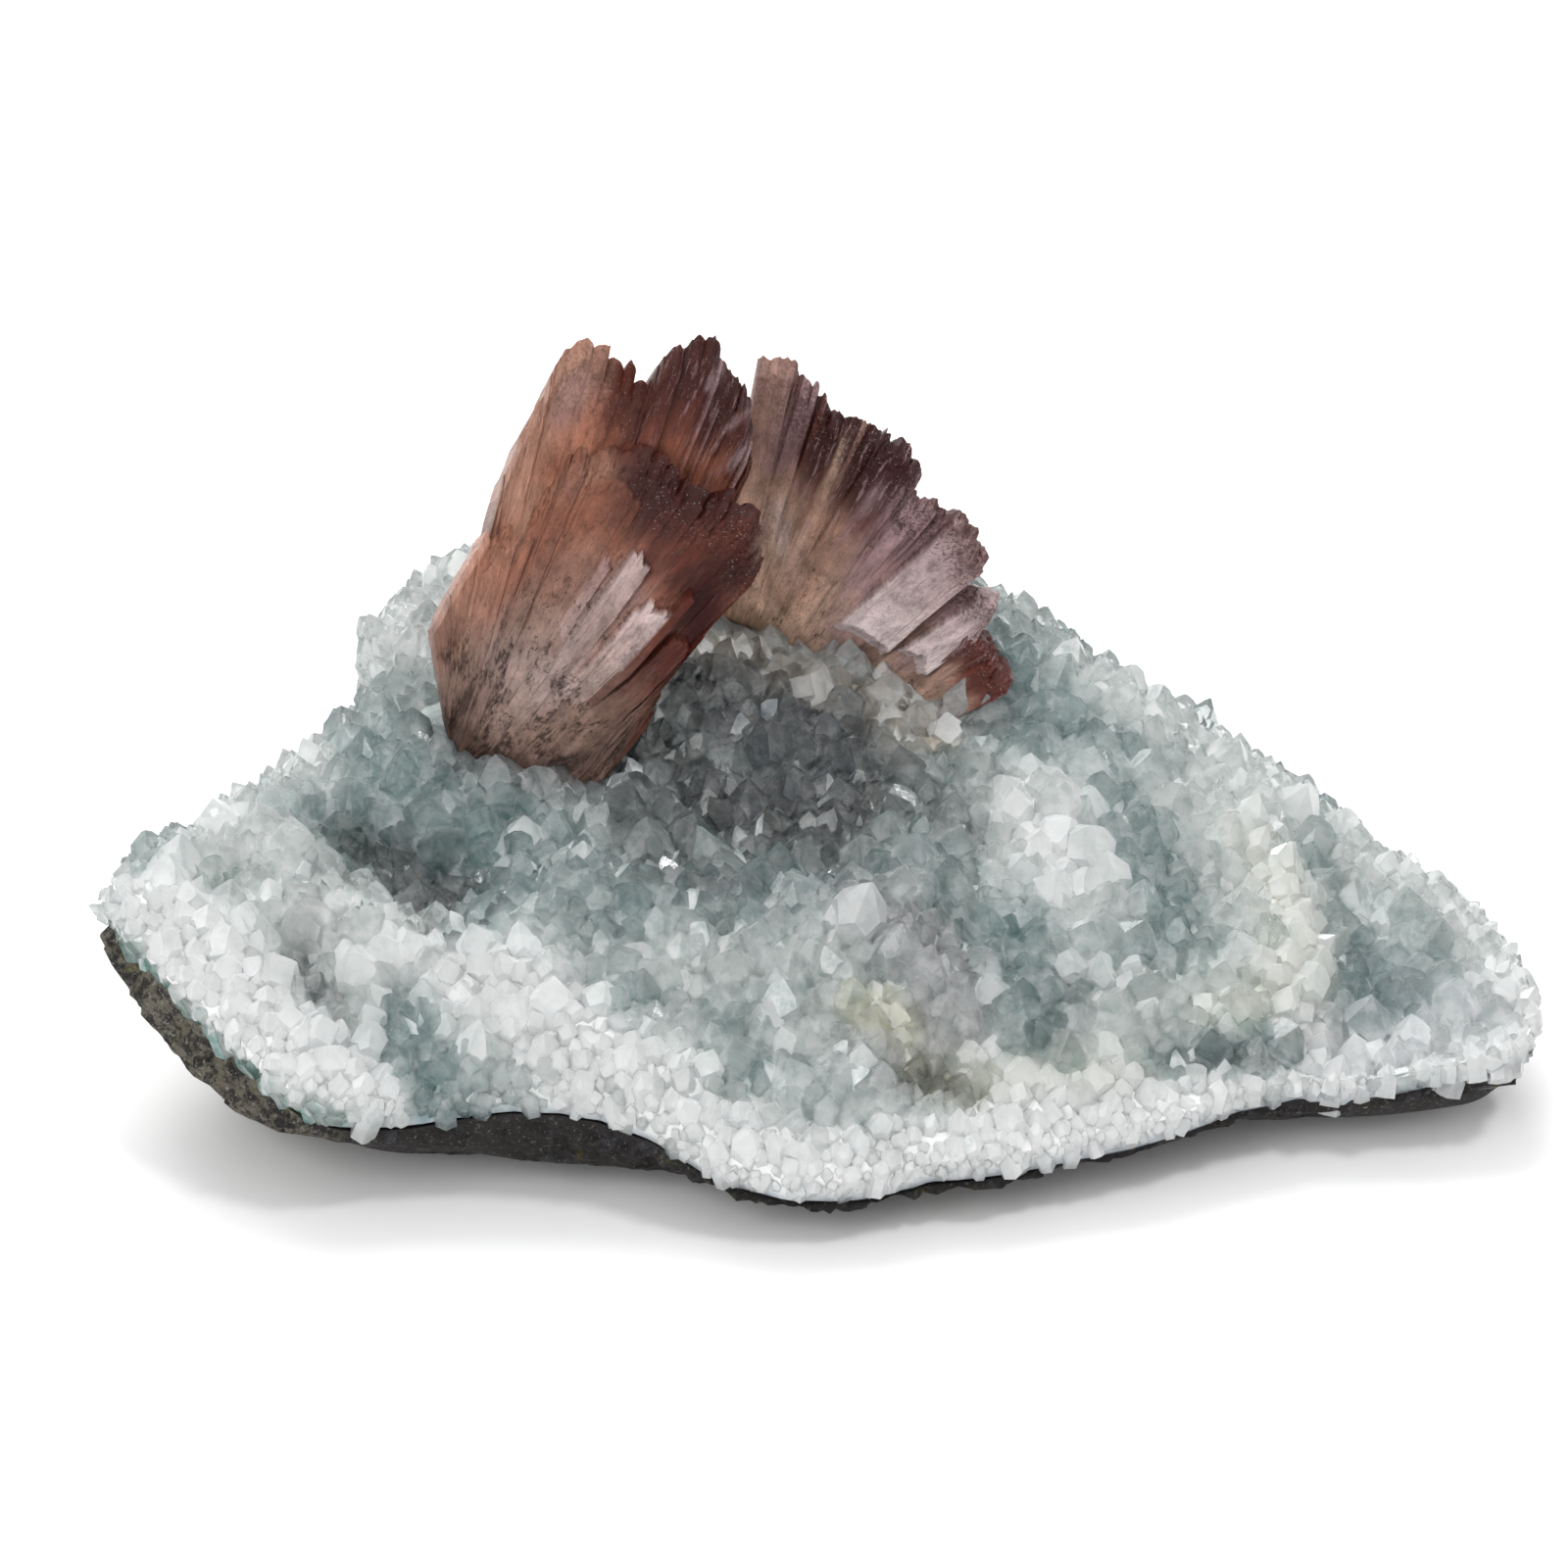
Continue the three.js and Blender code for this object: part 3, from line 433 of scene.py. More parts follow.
class StudioSettings(bpy.types.PropertyGroup):
    floor: a_colour("Floor", "Colour of the floor", (236, 236, 236))
    sky: a_number("Sky", "Strength of the even light", 0.8)
    back_light: a_number("Back light", "Power of the large lamp behind", 7, unit="POWER")
    front_light: a_number("Front light", "Power of the large lamp in front", 3, unit="POWER")
    glint_light: a_number("Glint light", "Power of the small lamp that glints", 1.5, unit="POWER")
    lens: a_number("Lens", "Focal length in millimetres", 100)
    distance: a_length("Distance", "From the camera to what it looks at", 0.4)
    elevation: an_angle("Elevation", "Angle of the view above level", 30)
    target: bpy.props.FloatVectorProperty(
        name="Target", description="What the camera looks at", unit="LENGTH", subtype="TRANSLATION",
        default=(-0.0018, 0, 0.0248))


# Shape of the ground, in millimetres

RIM_TURN = np.mod(np.arctan2(RIM[:, 1], RIM[:, 0]), TURN)
RIM_ORDER = np.argsort(RIM_TURN)
RIM_SORTED = RIM_TURN[RIM_ORDER]
RIM_AT = np.concatenate([RIM_SORTED[-1:] - TURN, RIM_SORTED, RIM_SORTED[:1] + TURN])
RIM_FACTS = np.column_stack([np.hypot(RIM[:, 0], RIM[:, 1]), RIM[:, 2], RIM[:, 3]])[RIM_ORDER]
RIM_FACTS = np.concatenate([RIM_FACTS[-1:], RIM_FACTS, RIM_FACTS[:1]])


def rim_at(angle):
    """Radius, lower edge and height of the basalt face in each direction."""
    angle = np.mod(angle, TURN)
    return [np.interp(angle, RIM_AT, RIM_FACTS[:, i]) for i in range(3)]


def path_distance(x, y, path):
    """How far each place is from a path, both seen from above."""
    nearest = np.full(np.shape(x), 1e6)
    for (ax, ay), (bx, by) in zip(path, path[1:]):
        dx, dy = bx - ax, by - ay
        along = np.clip(((x - ax) * dx + (y - ay) * dy) / (dx * dx + dy * dy), 0, 1)
        nearest = np.minimum(nearest, np.hypot(x - ax - along * dx, y - ay - along * dy))
    return nearest


def dome(x, y):
    """Height of the whole crust, 22 mm in the middle, falling to the front and to the right."""
    return 22 + 0.28 * y - 0.10 * x - 0.0012 * x * x


def relief(x, y):
    """Height of the ridges and hollows on the dome."""
    return sum(height * np.exp(-0.5 * (path_distance(x, y, path) / width) ** 2)
               for path, width, height in RELIEF)


def skirt(out):
    """From 1 inside to 0 at the rim, steep only near it."""
    return np.sqrt(np.clip(1 - out ** 6, 0, None))


def ground(angle, out):
    """Places on the ground under the points, at a share of the way out to the rim."""
    radius, lower, _ = rim_at(angle)
    x, y = np.cos(angle) * radius * out, np.sin(angle) * radius * out
    top = lower + RIM_HEIGHT
    return np.column_stack([x, y, top + (dome(x, y) + relief(x, y) - top) * skirt(out)])


def underside(angle, out):
    """Places on the underside of the crust, at a share of the way out to the rim."""
    radius, lower, _ = rim_at(angle)
    x, y = np.cos(angle) * radius * out, np.sin(angle) * radius * out
    return np.column_stack([x, y, lower + (dome(x, y) - CRUST_DEPTH - lower) * skirt(out / RIM_UNDERCUT)])


def soft_patch(x, y, path, width, strength):
    """How strong a patch or stroke is at each place: full along its path, half of that at its half width."""
    return strength / (1 + (path_distance(x, y, path) / width) ** 4)


def unevenness(places, size, seed, octaves=3):
    """Smooth random numbers from about -1 to 1 at places in millimetres."""
    shift = Vector([seed * step for step in SEED_STEPS])
    return np.array([noise.fractal(Vector(p) / size + shift, 1.0, 2.0, octaves) for p in places.tolist()])


# Meshes

def deselect():
    if bpy.context.object is not None and bpy.context.object.mode != "OBJECT":
        bpy.ops.object.mode_set(mode="OBJECT")
    bpy.ops.object.select_all(action="DESELECT")


def make_active(*pieces):
    deselect()
    for piece in pieces:
        piece.select_set(True)
    bpy.context.view_layer.objects.active = pieces[0]


def places_of(mesh):
    flat = np.empty(len(mesh.vertices) * 3, dtype=np.float64)
    mesh.vertices.foreach_get("co", flat)
    return flat.reshape(-1, 3)


def set_places(mesh, places):
    mesh.vertices.foreach_set("co", np.ascontiguousarray(places, dtype=np.float32).ravel())
    mesh.update()


def set_values(mesh, name, kind, values):
    """Keeps one value, vector or colour for each vertex under a name."""
    values = np.asarray(values, dtype=np.float32)
    if kind == "FLOAT_COLOR":
        values = np.column_stack([values, np.ones(len(values), dtype=np.float32)])
    layer = mesh.attributes.new(name, kind, "POINT")
    field = {"FLOAT": "value", "FLOAT_VECTOR": "vector", "FLOAT_COLOR": "color"}[kind]
    layer.data.foreach_set(field, values.ravel())


def unit_sphere(name, segments, rings):
    """A sphere of radius 1 for code to shape ring by ring, with each vertex's direction and depth."""
    deselect()
    bpy.ops.mesh.primitive_uv_sphere_add(segments=segments, ring_count=rings, radius=1)
    piece = bpy.context.object
    piece.name = piece.data.name = name
    spots = places_of(piece.data)
    angle = np.arctan2(spots[:, 1], spots[:, 0])
    depth = np.arccos(np.clip(spots[:, 2], -1, 1)) / (math.pi / 2)
    return piece, angle, depth


def face_outwards(piece):
    make_active(piece)
    bpy.ops.object.mode_set(mode="EDIT")
    bpy.ops.mesh.select_all(action="SELECT")
    bpy.ops.mesh.normals_make_consistent(inside=False)
    bpy.ops.object.mode_set(mode="OBJECT")


def loose_mesh(shape):
    """Corners and faces of a modelled shape, which is then deleted."""
    face_outwards(shape)
    places = places_of(shape.data)
    faces = [tuple(face.vertices) for face in shape.data.polygons]
    mesh = shape.data
    bpy.data.objects.remove(shape)
    bpy.data.meshes.remove(mesh)
    return places, faces


def triangles_of(mesh):
    """Corners of the mesh's triangles in an order that is the same each run, unlike the sphere tool's own."""
    triangles = []
    for face in mesh.polygons:
        corners = list(face.vertices)
        first = corners.index(min(corners))
        corners = corners[first:] + corners[:first]
        triangles += [(corners[0], b, c) for b, c in zip(corners[1:], corners[2:])]
    return np.array(sorted(triangles))


def cut(point, normal):
    """Cuts off what lies beyond a plane and closes the gap."""
    bpy.ops.mesh.select_all(action="SELECT")
    bpy.ops.mesh.bisect(plane_co=point, plane_no=normal, use_fill=True, clear_outer=True)


# Materials

class Tree:
    """Adds nodes to a material or a node group; a value may be a number or another node's output."""

    def __init__(self, tree):
        self.tree = tree

    def add(self, kind, inputs=None, output=0, **settings):
        node = self.tree.nodes.new(kind)
        for key, value in settings.items():
            setattr(node, key, value)
        for key, value in (inputs or {}).items():
            self.feed(node.inputs[key], value)
        return node.outputs[output]

    def feed(self, socket, value):
        if isinstance(value, bpy.types.NodeSocket):
            self.tree.links.new(value, socket)
        elif socket.type == "RGBA" and len(value) == 3:
            socket.default_value = (*value, 1)
        else:
            socket.default_value = value

    def mix(self, share, first, second, blend="MIX"):
        """Two colours mixed; the node takes share and colours in sockets 0, 6 and 7 and gives output 2."""
        inputs = {0: share, 6: first, 7: second}
        return self.add("ShaderNodeMix", inputs, 2, data_type="RGBA", blend_type=blend)

    def calc(self, operation, first, second=0.0):
        return self.add("ShaderNodeMath", {0: first, 1: second}, operation=operation)

    def times(self, first, second):
        return self.calc("MULTIPLY", first, second)

    def plus(self, first, second):
        return self.calc("ADD", first, second)

    def between(self, value, low, high, start=0.0, end=1.0):
        """From start to end as a value goes from low to high, with soft ends."""
        inputs = {"Value": value, "From Min": low, "From Max": high, "To Min": start, "To Max": end}
        return self.add("ShaderNodeMapRange", inputs, interpolation_type="SMOOTHSTEP")

    def noise(self, vector, scale, detail=3.0, roughness=0.5):
        inputs = {"Vector": vector, "Scale": scale, "Detail": detail, "Roughness": roughness}
        return self.add("ShaderNodeTexNoise", inputs)

    def streaks(self, vector, scale, detail, roughness):
        """Noise with its own scale along each axis."""
        stretched = self.add("ShaderNodeVectorMath", {0: vector, 1: scale}, operation="MULTIPLY")
        return self.noise(stretched, 1.0, detail, roughness)

    def spot(self):
        return self.add("ShaderNodeTexCoord", output="Object")

    def value(self, name, output=0):
        return self.add("ShaderNodeAttribute", attribute_name=name, output=output)

    def mottled(self, scale, first, second, low, high):
        """Two colours in soft blotches, by the Mottle group."""
        return self.group(
            mottle_group(), "Color", Vector=self.spot(), Scale=scale,
            First=first, Second=second, Low=low, High=high)

    def group(self, group, output, **inputs):
        node = self.tree.nodes.new("ShaderNodeGroup")
        node.node_tree = group
        for key, value in inputs.items():
            self.feed(node.inputs[key], value)
        return node.outputs[output]


def new_group(name, inputs, output, kind):
    """An empty node group with its tree, the sockets that it is given and the one that it has to fill."""
    group = bpy.data.node_groups.new(name, "ShaderNodeTree")
    for key, input_kind in inputs.items():
        group.interface.new_socket(key, in_out="INPUT", socket_type="NodeSocket" + input_kind)
    group.interface.new_socket(output, in_out="OUTPUT", socket_type="NodeSocket" + kind)
    given = group.nodes.new("NodeGroupInput").outputs
    return group, Tree(group), given, group.nodes.new("NodeGroupOutput").inputs[output]


def specks_group():
    """Scattered round specks, as a mask."""
    name = "Specks"
    if name in bpy.data.node_groups:
        return bpy.data.node_groups[name]
    inputs = {"Vector": "Vector", "Scale": "Float", "Size": "Float", "Share": "Float"}
    group, tree, given, mask = new_group(name, inputs, "Mask", "Float")
    cells = tree.tree.nodes.new("ShaderNodeTexVoronoi")
    tree.feed(cells.inputs["Vector"], given["Vector"])
    tree.feed(cells.inputs["Scale"], given["Scale"])
    chance = tree.add("ShaderNodeSeparateColor", {0: cells.outputs["Color"]})
    kept = tree.calc("LESS_THAN", chance, given["Share"])
    spot = tree.between(cells.outputs["Distance"], given["Size"], tree.times(given["Size"], 0.5))
    tree.feed(mask, tree.times(kept, spot))
    return group


def mottle_group():
    """Two colours mixed in soft blotches."""
    name = "Mottle"
    if name in bpy.data.node_groups:
        return bpy.data.node_groups[name]
    inputs = {"Vector": "Vector", "Scale": "Float", "First": "Color", "Second": "Color", "Low": "Float",
              "High": "Float"}
    group, tree, given, colour = new_group(name, inputs, "Color", "Color")
    cloud = tree.noise(given["Vector"], given["Scale"], 4.0, 0.6)
    share = tree.between(cloud, given["Low"], given["High"])
    tree.feed(colour, tree.mix(share, given["First"], given["Second"]))
    return group


def new_material(name):
    material = bpy.data.materials.new(name)
    material.use_nodes = True
    return material, Tree(material.node_tree)


def set_shader(tree, inputs):
    shader = tree.tree.nodes["Principled BSDF"]
    for key, value in inputs.items():
        tree.feed(shader.inputs[key], value)


def bump(tree, height, distance, strength=1.0):
    return tree.add("ShaderNodeBump", {"Height": height, "Distance": distance, "Strength": strength})


def quartz_material(name, clearness, veil, lightness, cloud, shine):
    """Quartz over the tone of the crust, with veils inside, paler tips and painted glints: facets whitened in
    broken patches.
    """
    material, tree = new_material(name)
    spot = tree.spot()
    tint, rise = tree.value("tint"), tree.value("rise", "Fac")
    frayed = tree.noise(spot, 1500.0, 3.0, 0.6)
    clear = tree.add("ShaderNodeGamma", {"Color": tint, "Gamma": lightness})
    pale = tree.mix(0.5, clear, (0.95, 0.97, 0.97))
    cool = tree.mix(1.0, clear, cloud, "MULTIPLY")
    clouded = tree.mottled(800.0, cool, tree.mix(veil, clear, pale), 0.38, 0.56)
    tipped = tree.mix(tree.between(rise, 0.75, 1.0, 0.0, 0.5), clouded, pale)
    # Painted glints: patches of a facet whitened as if they caught a lamp; only the glinting kind has any
    broken = tree.between(tree.noise(spot, 800.0, 4.0, 0.75), 0.54, 0.64, 0.0, shine)
    set_shader(tree, {
        "Base Color": tree.mix(broken, tipped, (0.95, 0.96, 0.96)),
        "Roughness": tree.between(frayed, 0.3, 0.8, 0.05, 0.22),
        "Normal": bump(tree, frayed, 0.00006, 0.6),
        "Transmission Weight": clearness,
        "IOR": QUARTZ_IOR,
        "Specular IOR Level": 0.28,
    })
    return material


def crust_material():
    material, tree = new_material("quartz_crust")
    tint, grains = tree.value("tint"), tree.noise(tree.spot(), 1400.0, 4.0, 0.65)
    set_shader(tree, {
        "Base Color": tree.mottled(700.0, tint, tree.mix(0.2, tint, (0.85, 0.87, 0.86)), 0.45, 0.62),
        "Roughness": tree.between(grains, 0.3, 0.7, 0.25, 0.6),
        "Normal": bump(tree, grains, 0.00025, 0.8),
        "IOR": QUARTZ_IOR,
    })
    return material


def basalt_material(settings):
    """Dark granular rock, browner and more weathered at the left end, with pale and rusty grains."""
    material, tree = new_material("broken_basalt")
    spot = tree.spot()
    left = tree.between(tree.add("ShaderNodeSeparateXYZ", {0: spot}, "X"), -0.036, -0.046)
    body = tree.mottled(420.0, settings.rock[:], settings.purple[:], 0.5, 0.75)
    weathered = tree.mottled(800.0, settings.rock[:], settings.tan[:], 0.42, 0.56)
    face = tree.mix(tree.times(left, 0.9), body, weathered)
    rusty = tree.noise(spot, 170.0, 4.0, 0.7)
    face = tree.mix(tree.between(rusty, 0.6, 0.7, 0.0, 0.7), face, settings.olive[:])
    grains, crumbs = tree.noise(spot, 1700.0, 6.0, 0.75), tree.noise(spot, 2600.0, 5.0, 0.8)
    face = tree.mix(tree.between(grains, 0.52, 0.38, 0.0, 0.85), face, (0.006, 0.006, 0.007))
    pale = tree.times(tree.between(crumbs, 0.57, 0.64), tree.between(left, 0.0, 1.0, 0.35, 0.8))
    set_shader(tree, {
        "Base Color": tree.mix(pale, face, settings.speck[:]),
        "Roughness": tree.between(grains, 0.3, 0.7, 0.5, 0.9),
        "Normal": bump(tree, tree.plus(grains, tree.times(crumbs, 0.4)), 0.0006, 1.0),
        "Specular IOR Level": 0.35,
    })
    return material


def heulandite_material(settings):
    """Translucent blades in the tones of their places, streaked along their growth and dirty in places, with
    painted sheen and painted glints.
    """
    material, tree = new_material("heulandite_blades")
    grain, tint = tree.value("grain", "Vector"), tree.value("tint")
    dirty, pearl, sparkle, edge = (tree.value(name, "Fac") for name in ("dirty", "pearl", "sparkle", "edge"))
    streaks = tree.streaks(grain, (3.4, 0.8, 1.0), 6.0, 0.75)
    clouds = tree.streaks(grain, (0.8, 0.45, 1.0), 6.0, 0.7)
    fine = tree.streaks(grain, (7.0, 3.5, 1.0), 3.0, 0.7)
    shadowed = tree.mix(0.65, tint, (0.03, 0.008, 0.006))
    lit = tree.mix(1.0, tint, (1.6, 1.55, 1.55), "MULTIPLY")
    body = tint
    # Light and dark clouds and streaks: pattern, where it starts and is full, strength and tone
    for pattern, start, full, strength, shade in (
            (clouds, 0.5, 0.64, 0.6, shadowed), (clouds, 0.5, 0.36, 0.5, lit),
            (streaks, 0.5, 0.3, 0.65, shadowed), (streaks, 0.52, 0.72, 0.4, lit),
            (fine, 0.5, 0.3, 0.4, shadowed), (fine, 0.5, 0.7, 0.25, lit)):
        body = tree.mix(tree.between(pattern, start, full, 0.0, strength), body, shade)
    # Painted sheen: pale lilac streaks that stand in for the pearly sheen of the faces
    sheen_streaks = tree.between(tree.streaks(grain, (2.2, 0.3, 1.0), 4.0, 0.65), 0.54, 0.66)
    body = tree.mix(tree.times(tree.times(sheen_streaks, pearl), 0.75), body, settings.lilac[:])
    # Dirt in flecks, more of it in some places; the edges of plates get a dark line
    spread = tree.streaks(grain, (0.4, 0.3, 1.0), 3.0, 0.6)
    bound = tree.calc("SUBTRACT", tree.between(spread, 0.3, 0.7, 0.78, 0.58), tree.times(dirty, 0.18))
    flecks = tree.streaks(grain, (3.0, 1.5, 1.0), 7.0, 0.85)
    soiled = tree.between(tree.calc("SUBTRACT", flecks, bound), 0.0, 0.1)
    body = tree.mix(tree.times(soiled, 0.85), body, settings.dirt[:])
    body = tree.mix(tree.times(edge, tree.between(fine, 0.35, 0.6, 0.9, 0.3)), body, settings.dirt[:])
    # Granular tips: dark and reddish grit, with pale specks that are painted glints
    grit = tree.noise(grain, 3.4, 5.0, 0.75)
    body = tree.mix(tree.times(sparkle, tree.between(grit, 0.54, 0.4, 0.0, 0.8)), body, (0.02, 0.005, 0.004))
    body = tree.mix(tree.times(sparkle, tree.between(grit, 0.58, 0.72, 0.0, 0.6)), body, (0.3, 0.11, 0.085))
    painted_glints = tree.group(specks_group(), "Mask", Vector=grain, Scale=6.0, Size=0.3, Share=0.16)
    body = tree.mix(tree.times(painted_glints, tree.times(sparkle, 0.75)), body, (0.85, 0.7, 0.66))
    height = tree.plus(streaks, tree.plus(tree.times(flecks, 0.6), tree.times(fine, 0.5)))
    set_shader(tree, {
        "Base Color": body,
        "Roughness": tree.between(streaks, 0.3, 0.7, 0.5, 0.3),
        "Specular IOR Level": 0.16,
        "Normal": bump(tree, height, 0.00009, 0.8),
        "Transmission Weight": 0.15,
        "IOR": 1.5,
        "Subsurface Weight": 0.22,
        "Subsurface Radius": (0.0012, 0.0008, 0.0007),
        "Subsurface Scale": 1.0,
    })
    return material


def floor_material(settings):
    material, tree = new_material("studio_floor")
    paper = tree.between(tree.noise(tree.spot(), 60.0, 3.0), 0.3, 0.7, 0.0, 0.04)
    set_shader(tree, {
        "Base Color": tree.mix(paper, settings.floor[:], (0.7, 0.7, 0.7)),
        "Roughness": 0.8,
        "Specular IOR Level": 0.1,
    })
    return material


# Basalt

def build_basalt(settings):
    """The plate: a cover under the crust, a broken face all round, a flank that narrows and a flat sole."""
    piece, angle, depth = unit_sphere("basalt_rock", *BASALT_MESH)
    radius, lower, band = rim_at(angle)
    top = lower - ROCK_GAP
    face_foot = np.maximum(lower - ROCK_GAP - band, SOLE_CLEARANCE)
    # From the edge of the cover down the face, in under the flank and across the sole
    stations = [0, 0.16, 0.34, 0.5, 0.62, 1]
    outs = [RIM_UNDERCUT, 1, FACE_SHARE, FLANK_SHARE, SOLE_SHARE, 0]
    heights = [top, (face_foot + top) / 2, face_foot, face_foot * 0.5, 0 * top, 0 * top]
    down = np.clip(depth - 1, 0, 1)
    out = np.interp(down, stations, outs)
    level = np.zeros(len(angle))
    for (a, b), low, high in zip(zip(stations, stations[1:]), heights, heights[1:]):
        within = (down >= a) & (down <= b)
        share = (down - a) / (b - a)
        level = np.where(within, low + (high - low) * share, level)
    places = np.column_stack([np.cos(angle) * radius * out, np.sin(angle) * radius * out, level])
    cover = depth < 1
    cover_out = RIM_UNDERCUT * np.sin(np.clip(depth, 0, 1) * math.pi / 2)
    covered = underside(angle, cover_out) - [0, 0, ROCK_GAP]
    places[cover] = covered[cover]
    lump, grain = settings.lump_height / MM, settings.grain_height / MM
    rough = (lump * unevenness(places, 5.0, 1) + grain * unevenness(places, 1.8, 2)
             + 0.8 * grain * unevenness(places, 0.9, 3, 2))
    # Held at the cover's edge and at the sole
    held = np.clip(down / 0.08, 0, 1) * np.clip(level / 1.2, 0, 1)
    sway = (rough - 0.25 * lump) * held
    places[:, 0] += np.cos(angle) * sway
    places[:, 1] += np.sin(angle) * sway
    lift = 0.5 * rough * held * np.clip((down - 0.2) / 0.1, 0, 1) * np.clip((0.6 - down) / 0.1, 0, 1)
    places[:, 2] = np.maximum(places[:, 2] + lift, 0)
    set_places(piece.data, places * MM)
    piece.data.materials.append(basalt_material(settings))
    return piece


# Quartz

def patch_shares(x, y):
    """For each finish, how much of it each place has, and what is left for the base."""
    places = np.column_stack([x, y, 0 * x])
    wander_x, wander_y = unevenness(places, 4.0, 11, 2), unevenness(places, 4.0, 12, 2)
    x, y = x + 1.4 * wander_x, y + 1.4 * wander_y
    shares = np.zeros((len(FINISHES) + 1, len(x)))
    shares[-1] = 1
    clouds = unevenness(places, 9.0, 13, 2)
    layers = [("pale", np.clip(clouds * 1.2, 0, 0.7)), ("teal", np.clip(-clouds * 1.2, 0, 0.7))]
    layers += [(finish, soft_patch(x, y, *patch)) for finish, *patch in PATCHES]
    for finish, amount in layers:
        shares *= 1 - amount
        shares[FINISHES.index(finish)] += amount
    return shares


def patch_look(settings, x, y):
    """Colour and milkiness of the quartz at each place."""
    shares = patch_shares(x, y)
    colours = np.array([getattr(settings, finish)[:] for finish in FINISHES] + [settings.base[:]])
    milk = np.array([*MILKINESS.values(), BASE_MILKINESS])
    return shares.T @ colours, shares.T @ milk


def tone_rim(settings, tint, x, low, start, blueness):
    """Tones the lower edge, green at the left end and bluish grey elsewhere, and gives the shares of both."""
    green = np.clip((GREEN_UNTIL - x) / GREEN_OVER, 0, 1) * np.clip((low - start) / 0.3, 0, 1)
    blue = np.clip((low - start - 0.4) / 0.4, 0, 1) * (1 - green)
    tint += (np.array(settings.rim_green[:]) - tint) * green[:, None]
    tint += (np.array(settings.rim_blue[:]) - tint) * (blueness * blue)[:, None]
    return green, blue


def build_crust(settings):
    """The ground under the points, closed by a short wall at the rim and an underside."""
    piece, angle, depth = unit_sphere("quartz_crust", *CRUST_MESH)
    radius, lower, _ = rim_at(angle)
    out = np.sin(np.clip(depth / CRUST_BAND, 0, 1) * math.pi / 2)
    places = ground(angle, out)
    inner = 1 - out ** 8
    swell = settings.swell / MM * unevenness(places, 5.0, 5) * inner
    places[:, 2] += swell - GROUND_DROP - BACK_DROP * np.clip(places[:, 1] / BACK_OVER, 0, 1) * inner
    places[:, 2] -= RIGHT_DROP * np.clip((places[:, 0] - RIGHT_FROM) / RIGHT_OVER, 0, 1) * inner
    band = np.clip((depth - CRUST_BAND) / (1 - CRUST_BAND), 0, 1)
    in_band = (depth > CRUST_BAND) & (depth <= 1.0001)
    edge = radius * (1 + (RIM_UNDERCUT - 1) * band) + 0.35 * unevenness(places, 2.0, 6)
    wall = np.column_stack([np.cos(angle) * edge, np.sin(angle) * edge, lower + RIM_HEIGHT * (1 - band)])
    places[in_band] = wall[in_band]
    under = depth > 1.0001
    below = underside(angle, RIM_UNDERCUT * np.sin(np.clip(2 - depth, 0, 1) * math.pi / 2))
    places[under] = below[under]
    set_places(piece.data, places * MM)
    # Stronger and darker in tone than the points, which are see-through
    tint, _ = patch_look(settings, places[:, 0], places[:, 1])
    tint = (1.2 * tint ** 1.25).clip(0, 0.82)
    tone_rim(settings, tint, places[:, 0], np.where(under, 1, band), 0.15, 0.8)
    set_values(piece.data, "tint", "FLOAT_COLOR", tint)
    set_values(piece.data, "rise", "FLOAT", np.zeros(len(places)))
    make_active(piece)
    bpy.ops.object.shade_smooth()
    return piece, places, depth < 0.985


def nearness_to_rim(places):
    """From 0 well inside the rim to 1 at the rim."""
    reach = rim_at(np.arctan2(places[:, 1], places[:, 0]))[0]
    return np.clip(1 - (reach - np.hypot(places[:, 0], places[:, 1])) / RIM_REACH, 0, 1)


def at_edge(nearness):
    """From 0 to 1 over the last tenth of the nearness to the rim."""
    return np.clip(nearness * 10 - 9, 0, 1)


def spread_over(places, faces, rng, spacings, tries):
    """Random places on faces, with their normals and rounds, none nearer to another than its spacing."""
    corners = places[faces]
    across = np.cross(corners[:, 1] - corners[:, 0], corners[:, 2] - corners[:, 0])
    area = np.linalg.norm(across, axis=1) / 2
    normals = across / np.maximum(2 * area[:, None], 1e-9)
    cell = max(spacings)
    kept, kept_faces, rounds, grid = [], [], [], {}
    for turn, spacing in enumerate(spacings):
        chosen = rng.choice(len(faces), tries[turn], p=area / area.sum())
        a, b = rng.random(tries[turn]), rng.random(tries[turn])
        flip = a + b > 1
        a, b = np.where(flip, 1 - a, a), np.where(flip, 1 - b, b)
        first = corners[chosen, 0]
        spots = first + a[:, None] * (corners[chosen, 1] - first) + b[:, None] * (corners[chosen, 2] - first)
        cells = np.floor(spots / cell).astype(int)
        nearness = nearness_to_rim(spots)
        least = (spacing * (1 - 0.35 * nearness - 0.05 * at_edge(nearness))) ** 2
        draws = zip(spots.tolist(), cells.tolist(), chosen.tolist(), least.tolist())
        for spot, (i, j, k), face, apart in draws:
            near = (kept[n] for di in (-1, 0, 1) for dj in (-1, 0, 1) for dk in (-1, 0, 1)
                    for n in grid.get((i + di, j + dj, k + dk), ()))
            if any(sum((p - q) ** 2 for p, q in zip(spot, other)) < apart for other in near):
                continue
            grid.setdefault((i, j, k), []).append(len(kept))
            kept.append(spot)
            kept_faces.append(face)
            rounds.append(turn)
    return np.array(kept), normals[kept_faces], np.array(rounds)


